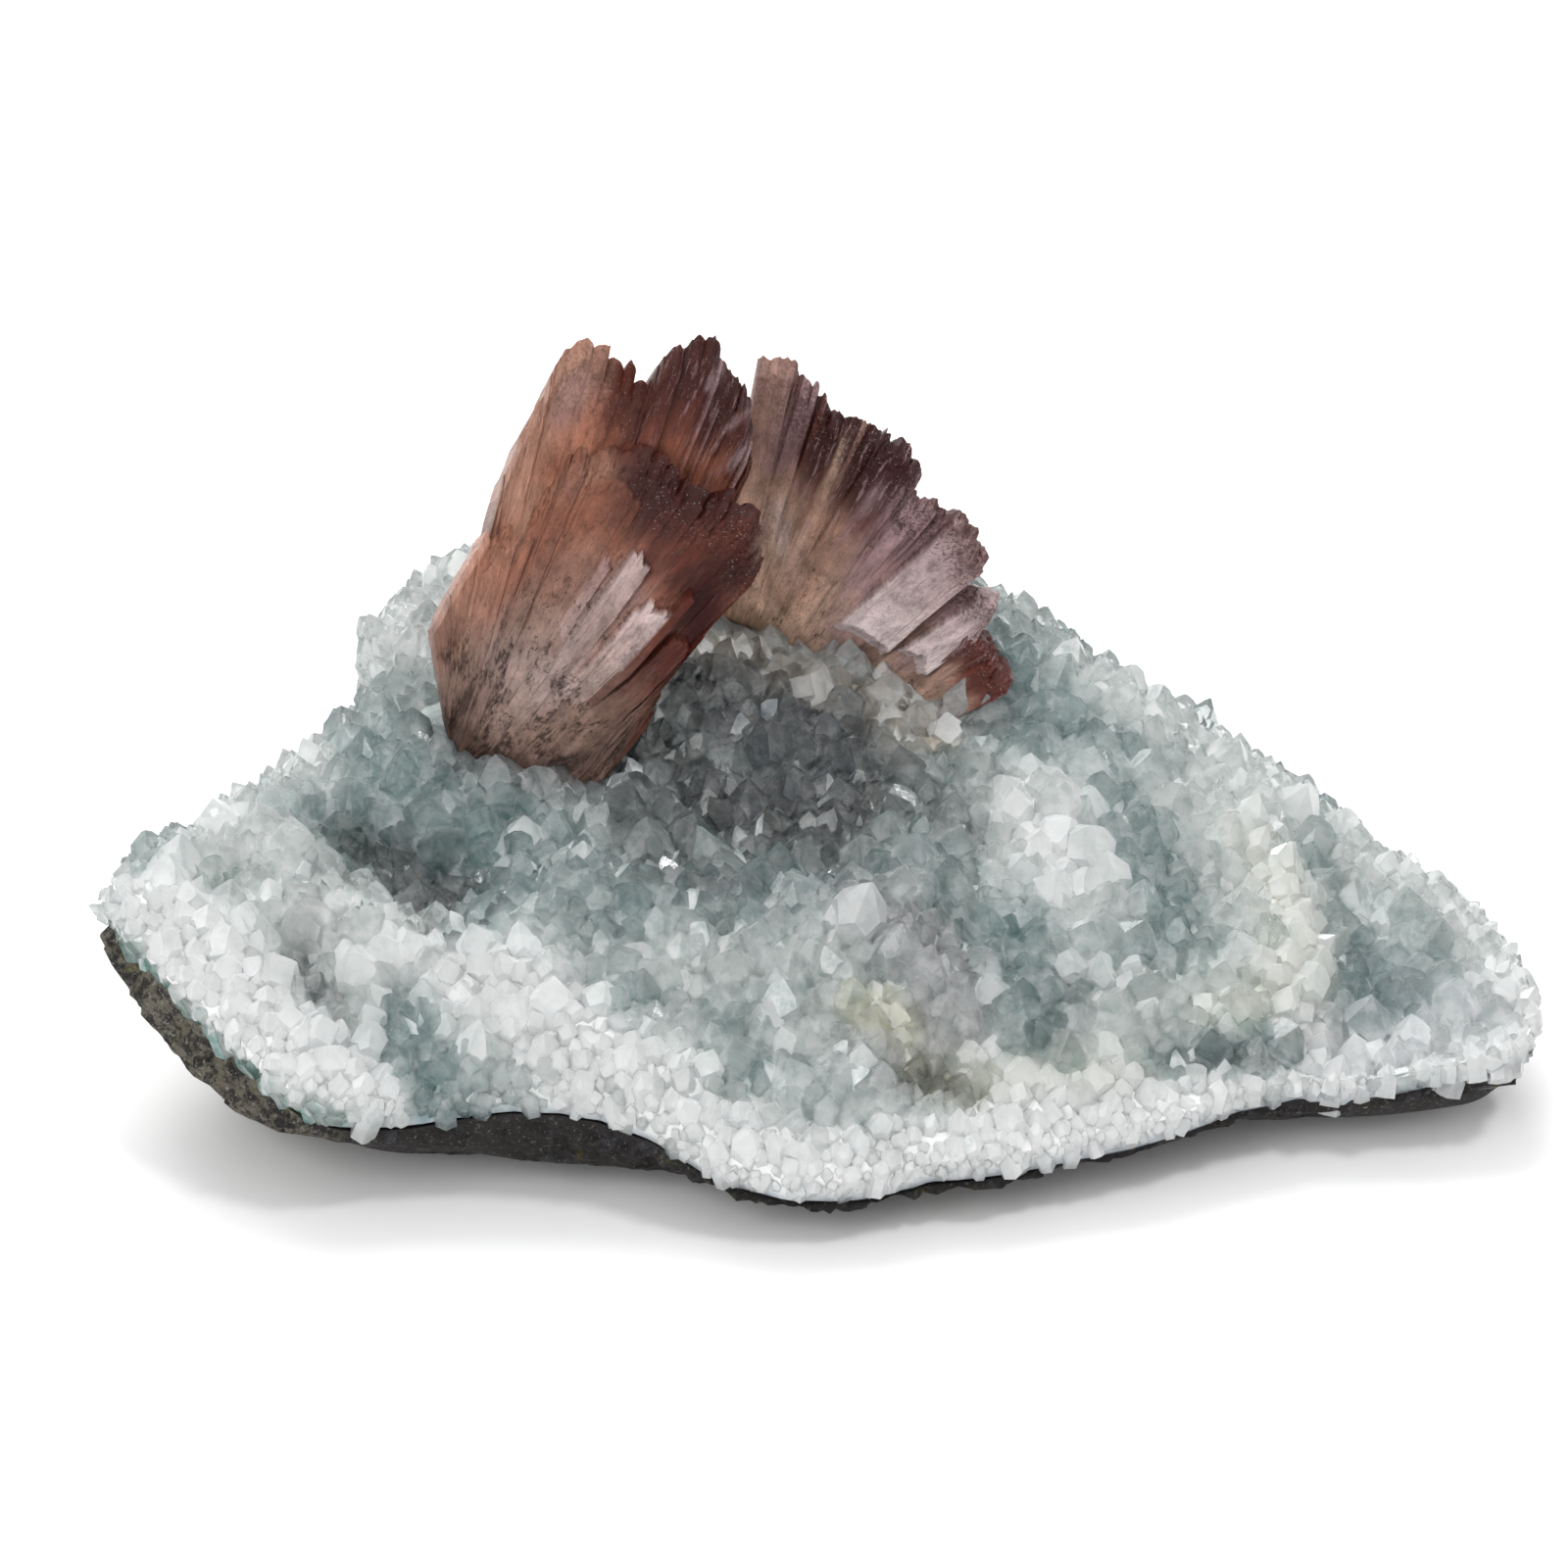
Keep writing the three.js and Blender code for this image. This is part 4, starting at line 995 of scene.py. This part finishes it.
def quartz_point(rng):
    """One six-sided point: a prism cut by three broad and three narrow end faces; it stands on the origin."""
    deselect()
    bpy.ops.mesh.primitive_cylinder_add(
        vertices=6, radius=0.5, depth=2, end_fill_type="NGON", location=(0, 0, 0.7),
        rotation=(0, 0, math.radians(30)))
    shape = bpy.context.object
    bpy.ops.object.transform_apply(location=True, rotation=True, scale=True)
    bpy.ops.object.mode_set(mode="EDIT")
    out, up = math.sin(END_SLOPE), math.cos(END_SLOPE)
    summit = rng.uniform(0.95, 1.35)
    for side in range(6):
        turn = side * math.pi / 3
        height = summit + (0.0 if side % 2 == 0 else rng.uniform(0.02, 0.2)) + rng.uniform(-0.07, 0.07)
        cut((0, 0, height), (out * math.cos(turn), out * math.sin(turn), up))
    bpy.ops.object.mode_set(mode="OBJECT")
    return loose_mesh(shape)


def turned_frames(directions, spins):
    """Rotations that carry +Z to each direction after a spin about it."""
    helper = np.where(np.abs(directions[:, 2:3]) < 0.9, [[0, 0, 1]], [[1, 0, 0]])
    side = np.cross(helper, directions)
    side /= np.linalg.norm(side, axis=1)[:, None]
    other = np.cross(directions, side)
    c, s = np.cos(spins)[:, None], np.sin(spins)[:, None]
    return np.stack([c * side + s * other, -s * side + c * other, directions], axis=2)


def sheaf_footprints():
    """Where the sheaves stand, as paths along their feet and half the depth there."""
    return [([(x, y + group["depth"] / 2) for x, y, _ in group["feet"]], group["depth"] / 2)
            for group in (LEFT_BACK, LEFT_FRONT, RIGHT_FAN)]


def crowds_of(bottoms, tops, reach):
    """Puts each point in the first crowd in which it touches no other, so that no crowd has overlaps."""
    along = np.linspace(0, 1, 4)[None, :, None]
    axes = bottoms[:, None] * (1 - along) + tops[:, None] * along
    crowds = np.zeros(len(axes), int)
    for n in range(1, len(axes)):
        near = np.flatnonzero(np.linalg.norm(tops[:n] - tops[n], axis=1) < NEIGHBOURS)
        gaps = np.linalg.norm(axes[near][:, :, None] - axes[n][None, None], axis=3).min(axis=(1, 2))
        taken = set(crowds[near[gaps < reach[near] + reach[n]]].tolist())
        crowds[n] = next(k for k in range(len(taken) + 1) if k not in taken)
    return crowds


def grown_together(pieces):
    """One surface from closed pieces that overlap, joined two by two."""
    while len(pieces) > 1:
        for n in range(len(pieces) // 2):
            base, other = pieces[n], pieces.pop()
            make_active(base)
            union = base.modifiers.new("Union", "BOOLEAN")
            union.operation, union.solver, union.object = "UNION", "MANIFOLD", other
            bpy.ops.object.modifier_apply(modifier=union.name)
            mesh = other.data
            bpy.data.objects.remove(other)
            bpy.data.meshes.remove(mesh)
    return pieces[0]


def point_crowd(points, materials, rng):
    """One object from points that don't touch, each as places, faces, tones, rises and kinds of its faces."""
    places, faces, tints, rises, kinds = zip(*points)
    starts = np.cumsum([0] + [len(own) for own in places]).tolist()
    faces = [tuple(corner + start for corner in face) for own, start in zip(faces, starts) for face in own]
    mesh = bpy.data.meshes.new("quartz_points")
    mesh.from_pydata((np.concatenate(places) * MM).tolist(), [], faces)
    set_values(mesh, "tint", "FLOAT_COLOR", np.concatenate(tints))
    set_values(mesh, "rise", "FLOAT", np.concatenate(rises))
    for material in materials:
        mesh.materials.append(material)
    # Painted glints: a small share of faces take the glinting material
    glinting = rng.random(len(faces)) > 1 - GLINTING_SHARE
    mesh.polygons.foreach_set("material_index", np.where(glinting, GLINTING, sum(kinds, [])).astype(np.int32))
    piece = bpy.data.objects.new("quartz_points", mesh)
    bpy.context.collection.objects.link(piece)
    return piece


def build_points(settings, crust_places, crust_faces, materials):
    """All points of the druse, grown together into one surface."""
    rng = np.random.default_rng(settings.seed)
    spacings = [settings.large_spacing / MM, settings.small_spacing / MM]
    spots, normals, rounds = spread_over(crust_places, crust_faces, rng, spacings, TRIES)
    from_feet = np.min([path_distance(spots[:, 0], spots[:, 1], line) - half
                        for line, half in sheaf_footprints()], axis=0)
    clear = from_feet > -UNDER_SHEAVES
    spots, normals, rounds, from_feet = spots[clear], normals[clear], rounds[clear], from_feet[clear]
    count = len(spots)
    at_rim = nearness_to_rim(spots)
    tint, milk = patch_look(settings, spots[:, 0], spots[:, 1])
    lower = rim_at(np.arctan2(spots[:, 1], spots[:, 0]))[1]
    lowest = np.clip(1 - (spots[:, 2] - lower) / RIM_HEIGHT, 0, 1)
    green, blue = tone_rim(settings, tint, spots[:, 0], lowest, 0, 0.7)
    milk -= 0.4 * green + 0.3 * blue
    # Directions: upright on the ground and outwards at the rim, with a lean of their own
    lean = np.tan(settings.lean) * rng.normal(0, 0.6, (count, 3))
    directions = normals * (1 - 0.5 * at_rim[:, None]) + lean
    directions[:, 2] += settings.upright
    directions /= np.linalg.norm(directions, axis=1)[:, None]
    # Sizes: narrower where milky and towards the rim
    width = np.where(rounds == 0, settings.large_width, settings.small_width) / MM
    width = width * rng.lognormal(0, 0.2, count).clip(0.7, 1.4)
    width *= ((1 - 0.12 * np.clip(milk * 1.5 - 0.6, 0, 1)) * (1 - 0.35 * at_rim)
              * (1 - 0.35 * at_edge(at_rim)))
    length = width * rng.uniform(0.85, 1.2, count)
    # Sunk deeper at the feet of the sheaves and below the right fan's end
    below = path_distance(spots[:, 0], spots[:, 1], [(11, 12.5), (19, 12.5)])
    low = np.maximum(np.interp(from_feet, [-1, 3], [1, 0]), np.interp(below, [2.5, 5], [1, 0]))
    frames = turned_frames(directions, rng.uniform(0, TURN, count))
    sunk = (0.5 + 0.2 * low) * width + 0.1
    tint = np.clip(tint * rng.lognormal(0, 0.13, count)[:, None], 0.004, 0.95)
    kinds = np.digitize(milk + rng.normal(0, 0.14, count), KIND_LIMITS)
    prototypes = [quartz_point(rng) for _ in range(PROTOTYPES)]
    which = rng.integers(0, len(prototypes), count)
    feet = spots - directions * sunk[:, None]
    points = []
    for n in range(count):
        shape, faces = prototypes[which[n]]
        places = (shape * [width[n], width[n], length[n]]) @ frames[n].T + feet[n]
        rises = shape[:, 2].clip(0, 1)
        points.append((places, faces, np.tile(tint[n], (len(shape), 1)), rises, [kinds[n]] * len(faces)))
    bottoms, tops = feet - directions * 0.3 * length[:, None], feet + directions * 1.2 * length[:, None]
    crowds = crowds_of(bottoms, tops, 0.52 * width)
    members = [[points[n] for n in np.flatnonzero(crowds == crowd)] for crowd in range(crowds.max() + 1)]
    return grown_together([point_crowd(own, materials, rng) for own in members])


def build_quartz(settings):
    """The crust and its points as one piece."""
    crust, places, upper = build_crust(settings)
    faces = triangles_of(crust.data)
    faces = faces[upper[faces].all(axis=1)]
    materials = [quartz_material(name, *kind) for name, kind in QUARTZ_KINDS.items()] + [crust_material()]
    points = build_points(settings, places, faces, materials)
    crust.data.materials.append(materials[-1])
    make_active(points, crust)
    bpy.ops.object.join()
    points.name = points.data.name = "quartz_points"
    return points


# Heulandite

def drift(rng, across, along, wide, long):
    """Smooth random numbers from -1 to 1, with grains of one size across a sheaf and another along it."""
    first, second = across / wide, along / long
    i, j = np.floor(first).astype(int), np.floor(second).astype(int)
    grid = rng.uniform(-1, 1, (i.max() + 2, j.max() + 2))
    s, t = first - i, second - j
    s, t = s * s * (3 - 2 * s), t * t * (3 - 2 * t)
    near, far = grid[i, j] * (1 - s) + grid[i + 1, j] * s, grid[i, j + 1] * (1 - s) + grid[i + 1, j + 1] * s
    return near * (1 - t) + far * t


def line_at(points, shares):
    """Places at shares of the way along a line through points, each part of the line counting the same."""
    points = np.asarray(points, dtype=float)
    at = np.asarray(shares) * (len(points) - 1)
    return np.column_stack([np.interp(at, np.arange(len(points)), points[:, i]) for i in range(3)])


def unit(vectors):
    return vectors / np.linalg.norm(vectors, axis=-1)[..., None]


class Fan:
    """Frame of one sheaf: where a blade stands, its direction and length at each share of the way across."""

    def __init__(self, group):
        self.group = group
        tips = np.asarray(group["tips"], dtype=float)
        walked = np.concatenate([[0], np.cumsum(np.linalg.norm(np.diff(tips, axis=0), axis=1))])
        self.width = walked[-1]
        self.walked, self.steps = walked / walked[-1], np.linspace(0, 1, len(tips))
        self.axis = unit(np.array(group["axis"], dtype=float))

    def blades(self, across):
        at = np.interp(across / self.width, self.walked, self.steps)
        feet, tips = line_at(self.group["feet"], at), line_at(self.group["tips"], at)
        along = tips - feet
        full = np.linalg.norm(along, axis=1)
        along /= full[:, None]
        back = unit(self.axis - along * (along @ self.axis)[:, None])
        return feet, along, back, full


def steps_between(places, edges, values, slope=0.05):
    """A height for each blade, with a short steep slope between neighbours."""
    knots = np.column_stack([edges - slope, edges + slope]).ravel()
    return np.interp(places, knots, np.repeat(values, 2)[1:-1])


def plates_over(settings, rng, fan, across, rise, spread, full, count):
    """Height of the plates that lie over a sheaf, nearness to their edges, their shades, shares and tones."""
    plates = list(fan.group["plates"])
    for _ in range(count):
        plates.append((
            rng.uniform(0, 1), rng.uniform(0.25, 1.3), rng.uniform(-0.3, 0.5), rng.uniform(0.45, 1.05),
            rng.uniform(0.03, 0.12), rng.uniform(4, 9), "tan", 0, 0))
    height, edge, shade, share = (np.zeros(len(across)) for _ in range(4))
    tones = np.zeros((len(across), 3))
    for place, half, start, end, thick, ramp, look, at_foot, at_tip in plates:
        lean, slope, own_shade = rng.uniform(-0.6, 0.6), rng.uniform(0.2, 0.9), rng.normal(0, 1)
        side = (across - place * fan.width) * spread
        ahead = (end - rise) * full - slope * np.abs(side - lean * half)
        within = np.minimum(half - np.abs(side), ahead)
        inside = np.clip(within / 0.12, 0, 1)
        risen = np.clip((rise - start) * full / ramp, 0, 1)
        raised = inside * thick * risen ** 1.4
        outline = np.clip(1 - np.abs(within + 0.1) / 0.26, 0, 1) * np.clip(thick * risen ** 2 / 0.4, 0, 1)
        over = raised > height
        grown = np.clip((rise - start) / (min(end, 1) - start), 0, 1) ** 1.5
        share = np.where(over, inside * (at_foot + (at_tip - at_foot) * grown), share)
        tones[over] = getattr(settings, look)[:]
        shade = np.where(over, own_shade, shade)
        edge = np.where(over, outline, np.maximum(edge, outline * (raised + 0.1 > height)))
        height = np.maximum(height, raised)
    return height, edge, shade, share[:, None], tones


def build_fan(name, settings, group, seed, paint):
    """One sheaf of blades grown together: a closed skin with a ring for each sliver of its width."""
    rng = np.random.default_rng(seed)
    piece, angle, depth = unit_sphere(name, group["rows"], group["columns"])
    fan = Fan(group)
    way, across = np.mod(angle, TURN) / TURN, np.clip(depth / 2, 0, 1) * fan.width
    rise, inward = np.interp(way, BLADE_WAY, BLADE_RISE), np.interp(way, BLADE_WAY, BLADE_DEPTH)
    # Sides close in a round
    left, right = across / group["left_round"], (fan.width - across) / group["right_round"]
    closing = np.sqrt(1 - (1 - np.clip(np.minimum(left, right), 0, 1)) ** 2)
    inward = 0.5 + (inward - 0.5) * closing
    rise = np.where(closing < 0.001, 0.5, rise)
    feet, along, back, full = fan.blades(across)
    walk = rise * full
    foot_share = np.linalg.norm(np.diff(group["feet"], axis=0), axis=1).sum() / fan.width
    spread = foot_share + (1 - foot_share) * rise
    # Books of parallel blades, each with its own direction; a lane is a place in a book, never shared by two
    books = np.cumsum(rng.uniform(2.2, 6, int(fan.width)))
    books = np.concatenate([[0], books[books < fan.width - 1], [fan.width]])
    book = np.clip(np.searchsorted(books, across, side="right") - 1, 0, len(books) - 2)
    wobble = 0.14 * drift(rng, across, walk, 2.5, 3)
    inside = (across - ((books[1:] + books[:-1]) / 2)[book]) * spread + wobble
    lane = inside + LANES * book + LANES / 2
    count = int(LANES * (len(books) - 1) / (settings.blade_width / MM))
    edges = np.cumsum(settings.blade_width / MM * rng.lognormal(0, 0.55, count))
    offsets = settings.step / MM * rng.normal(0, 1, count + 1).clip(-2, 2)
    jags = settings.jag / MM * rng.normal(0, 1, count + 1).clip(-1.6, 1.6)
    shades = rng.normal(0, 1, count + 1)
    book_offset, book_jag = rng.uniform(-0.07, 0.07, len(books)), rng.normal(0, 0.35, len(books))
    calm = np.clip(across / fan.width / max(group["calm_until"], 1e-6), 0.12, 1)
    # Round lumps of blades along the tips
    lumps = np.cumsum(1.7 * rng.lognormal(0, 0.4, int(2 * fan.width)))
    lump = np.searchsorted(lumps, across) + 1
    lumps = np.concatenate([[0, 0], lumps])
    before, after = lumps[lump], lumps[lump + 1]
    over = (2 * across - before - after) / (after - before)
    ends = settings.jag / MM * rng.normal(0, 1, len(lumps) + 1).clip(-1.5, 1.5)[lump]
    ends += 0.28 * (after - before) * (np.sqrt(np.clip(1 - over ** 2, 0, 1)) - 0.6)
    length = full + calm * (0.3 * steps_between(lane, edges, jags) + book_jag[book] + ends)
    walk = rise * length
    front = np.interp(way, [0, 0.03, 0.07, 0.7, 0.76, 1], [0, 0, 1, 1, 0, 0])
    end = np.interp(way, [0.66, 0.7, 0.8, 0.84], [0, 1, 1, 0])
    # Height of the front: blades, books, plates, fine and broad unevenness, rough foot and granular tip
    stepped = steps_between(lane, edges, offsets, 0.09) * (0.1 + 0.9 * rise ** 2)
    height = calm * (stepped + book_offset[book] * rise)
    plates, edge, shade, share, tones = plates_over(
        settings, rng, fan, across, rise, spread, full, group["columns"] // 6)
    height += np.maximum(calm, 0.4) * plates
    height += calm * (0.02 * drift(rng, lane, walk, 0.25, 1.6) + 0.06 * drift(rng, lane, walk, 0.8, 2.5))
    height += 0.4 * drift(rng, across, walk, 5, 9)
    foot, side = np.clip(1 - rise / 0.5, 0, 1) ** 1.5, across * spread
    height += foot * (0.6 * drift(rng, side, walk, 2.4, 2.6) + 0.2 * drift(rng, side, walk, 0.8, 0.9))
    tip = group["grainy"] * np.clip((rise - 0.76) / 0.12, 0, 1) * calm
    height += tip * (0.12 * drift(rng, across, walk, 0.45, 0.5) + 0.08 * drift(rng, across, walk, 0.25, 0.3))
    deep = inward * 8
    grown = group["grainy"] * calm * end * (
        0.28 * drift(rng, across, deep, 0.6, 0.7) + 0.18 * drift(rng, across, deep, 0.3, 0.35))
    within = inward * group["depth"] - height * front * closing
    places = feet + along * (walk + grown)[:, None] + back * within[:, None]
    set_places(piece.data, places * MM)
    # Tones, and coordinates that run along the blades for the material's streaks
    spot = np.column_stack([lane, walk + inward * group["depth"] * 0.6, np.full(len(across), seed * 7.7)])
    looks = paint(settings, across / fan.width, rise, places, drift(rng, across, walk, 0.8, 5))
    own = 1 + 0.05 * steps_between(lane, edges, shades) + 0.07 * shade
    tint = (looks["tint"] * (1 - share) + tones * share) * np.clip(own, 0.8, 1.2)[:, None]
    looks.update(tint=np.clip(tint, 0.003, 0.95), edge=edge * (way < 0.75),
                 dirty=looks["dirty"] * (1 - 0.9 * share[:, 0]))
    set_values(piece.data, "grain", "FLOAT_VECTOR", spot)
    for key, values in looks.items():
        set_values(piece.data, key, "FLOAT_COLOR" if key == "tint" else "FLOAT", values)
    face_outwards(piece)
    bpy.ops.object.shade_smooth_by_angle(angle=CREASE)
    return piece


def stroked(settings, base, places, strokes, wander):
    """Lays broad soft strokes of tone over a base, by where each place is seen from the front."""
    seen_x = places[:, 0] + 0.8 * wander
    seen_y = places[:, 2] * math.cos(SEEN_FROM) + places[:, 1] * math.sin(SEEN_FROM) + 0.5 * wander
    tint = base.copy()
    for name, *stroke in strokes:
        share = soft_patch(seen_x, seen_y, *stroke)
        tint += (np.array(getattr(settings, name)[:]) - tint) * share[:, None]
    return tint


def along_growth(settings, rise, growth):
    """Base tones from foot to tip."""
    stops = [stop for stop, _ in growth]
    tones = np.array([getattr(settings, name)[:] for _, name in growth])
    return np.column_stack([np.interp(rise, stops, tones[:, i]) for i in range(3)])


def paint_left_back(settings, across, rise, places, wander):
    base = along_growth(settings, rise + 0.05 * wander, LEFT_BACK["growth"])
    return {
        "tint": stroked(settings, base, places, LEFT_BACK_STROKES, wander),
        "dirty": np.clip(0.9 - rise, 0.1, 0.8),
        "pearl": np.clip((across - 0.5) / 0.3, 0, 0.6),
        "sparkle": np.clip((rise - 0.8) / 0.1, 0, 0.5),
    }


def paint_left_front(settings, across, rise, places, wander):
    shifted = rise + 0.05 * wander
    dark = along_growth(settings, shifted, LEFT_FRONT["growth"])
    light = along_growth(settings, shifted, LEFT_FRONT["left_growth"])
    right = np.clip((across - 0.36 + 0.02 * wander) / 0.08, 0, 1)[:, None]
    return {
        "tint": stroked(settings, light * (1 - right) + dark * right, places, LEFT_FRONT_STROKES, wander),
        "dirty": np.clip(1.3 - rise, 0.35, 1),
        "pearl": 0.4 * np.clip(1 - rise, 0, 1),
        "sparkle": np.clip((rise - 0.8) / 0.08, 0, 0.8) * np.clip((across - 0.4) / 0.05, 0, 1),
    }


def paint_right(settings, across, rise, places, wander):
    base = along_growth(settings, rise + 0.05 * wander, RIGHT_FAN["growth"])
    return {
        "tint": stroked(settings, base, places, RIGHT_STROKES, wander),
        "dirty": np.clip(0.8 - rise, 0, 0.6),
        "pearl": 0.8 * np.clip((rise - 0.3) / 0.2, 0, 1),
        "sparkle": np.clip((rise - 0.72) / 0.1, 0, 0.9) * np.clip(across / 0.12, 0.3, 1),
    }


def join_under(name, pieces, material):
    """Joins pieces into one with a single material."""
    for piece in pieces:
        piece.data.materials.clear()
        piece.data.materials.append(material)
    make_active(*pieces)
    if len(pieces) > 1:
        bpy.ops.object.join()
    pieces[0].name = pieces[0].data.name = name
    return pieces[0]


def sheaf_material(settings):
    return bpy.data.materials.get("heulandite_blades") or heulandite_material(settings)


def build_left_sheaf(settings):
    back = build_fan("left_back", settings, LEFT_BACK, settings.seed, paint_left_back)
    front = build_fan("left_front", settings, LEFT_FRONT, settings.seed + 1, paint_left_front)
    return join_under("heulandite_left_blades", [front, back], sheaf_material(settings))


def build_right_fan(settings):
    fan = build_fan("right_fan", settings, RIGHT_FAN, settings.seed + 3, paint_right)
    return join_under("heulandite_right_blades", [fan], sheaf_material(settings))


# Studio

def add_lamp(name, place, target, size, power):
    lamp = bpy.data.objects.new(name, bpy.data.lights.new(name, "AREA"))
    lamp.data.size = size
    lamp.data.energy = power
    lamp.location = place
    lamp.rotation_euler = (Vector(target) - Vector(place)).to_track_quat("-Z", "Y").to_euler()
    bpy.context.collection.objects.link(lamp)


def build_studio(settings):
    deselect()
    bpy.ops.mesh.primitive_plane_add(size=6, location=(0, 0, 0))
    floor = bpy.context.object
    floor.name = floor.data.name = "floor"
    floor.data.materials.append(floor_material(settings))
    target = Vector(settings.target)
    add_lamp("back_softbox", (-0.15, 0.55, 0.75), target, 0.6, settings.back_light)
    add_lamp("front_softbox", (-0.5, -0.6, 0.6), target, 0.6, settings.front_light)
    add_lamp("glint_lamp", (0.35, -0.1, 0.7), target, 0.12, settings.glint_light)
    world = bpy.data.worlds.new("studio")
    bpy.context.scene.world = world
    world.use_nodes = True
    sky = world.node_tree.nodes["Background"]
    sky.inputs["Color"].default_value = (1, 1, 1, 1)
    sky.inputs["Strength"].default_value = settings.sky
    bpy.context.scene.view_settings.view_transform = "Standard"
    camera = bpy.data.objects.new("camera", bpy.data.cameras.new("camera"))
    camera.data.lens = settings.lens
    camera.data.sensor_width = 36
    camera.data.clip_start, camera.data.clip_end = 0.01, 20
    away = Vector((0, -math.cos(settings.elevation), math.sin(settings.elevation)))
    camera.location = target + away * settings.distance
    camera.rotation_euler = (math.pi / 2 - settings.elevation, 0, 0)
    bpy.context.collection.objects.link(camera)
    bpy.context.scene.camera = camera


# Operators and panel

class SPECIMEN_OT_basalt(bpy.types.Operator):
    """Builds the broken basalt plate"""
    bl_idname = "specimen.basalt"
    bl_label = "Basalt"

    def execute(self, context):
        piece = build_basalt(context.scene.specimen_basalt)
        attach(piece, BODY)
        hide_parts("basalt_matrix")
        return {"FINISHED"}


class SPECIMEN_OT_quartz(bpy.types.Operator):
    """Builds the crust of quartz points"""
    bl_idname = "specimen.quartz"
    bl_label = "Quartz druse"

    def execute(self, context):
        piece = build_quartz(context.scene.specimen_quartz)
        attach(piece, BODY)
        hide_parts("quartz_druse")
        return {"FINISHED"}


class SPECIMEN_OT_heulandite(bpy.types.Operator):
    """Builds the two sheaves of heulandite blades"""
    bl_idname = "specimen.heulandite"
    bl_label = "Heulandite sheaves"

    def execute(self, context):
        settings = context.scene.specimen_heulandite
        builds = ((build_left_sheaf, "heulandite_left_sheaf"), (build_right_fan, "heulandite_right_fan"))
        for build, node in builds:
            piece = build(settings)
            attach(piece, BODY)
            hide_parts(node)
        return {"FINISHED"}


class SPECIMEN_OT_studio(bpy.types.Operator):
    """Builds the floor, the lamps and the camera"""
    bl_idname = "specimen.studio"
    bl_label = "Studio"

    def execute(self, context):
        build_studio(context.scene.specimen_studio)
        return {"FINISHED"}


class SPECIMEN_PT_panel(bpy.types.Panel):
    """Lists what builds the specimen"""
    bl_idname = "SPECIMEN_PT_panel"
    bl_label = "Specimen"
    bl_space_type = "VIEW_3D"
    bl_region_type = "UI"
    bl_category = "Specimen"

    def draw(self, context):
        for operator in OPERATORS:
            self.layout.operator(operator.bl_idname)


SETTINGS = {
    "specimen_basalt": BasaltSettings, "specimen_quartz": QuartzSettings,
    "specimen_heulandite": HeulanditeSettings, "specimen_studio": StudioSettings,
}
OPERATORS = [SPECIMEN_OT_basalt, SPECIMEN_OT_quartz, SPECIMEN_OT_heulandite, SPECIMEN_OT_studio]


def register():
    for cls in [*SETTINGS.values(), *OPERATORS, SPECIMEN_PT_panel]:
        bpy.utils.register_class(cls)
    for name, group in SETTINGS.items():
        setattr(bpy.types.Scene, name, bpy.props.PointerProperty(type=group))


def unregister():
    for name in SETTINGS:
        delattr(bpy.types.Scene, name)
    for cls in [SPECIMEN_PT_panel, *OPERATORS, *SETTINGS.values()]:
        bpy.utils.unregister_class(cls)


def main():
    register()
    bpy.ops.specimen.basalt()
    bpy.ops.specimen.quartz()
    bpy.ops.specimen.heulandite()
    bpy.ops.specimen.studio()


if __name__ == "__main__":
    main()
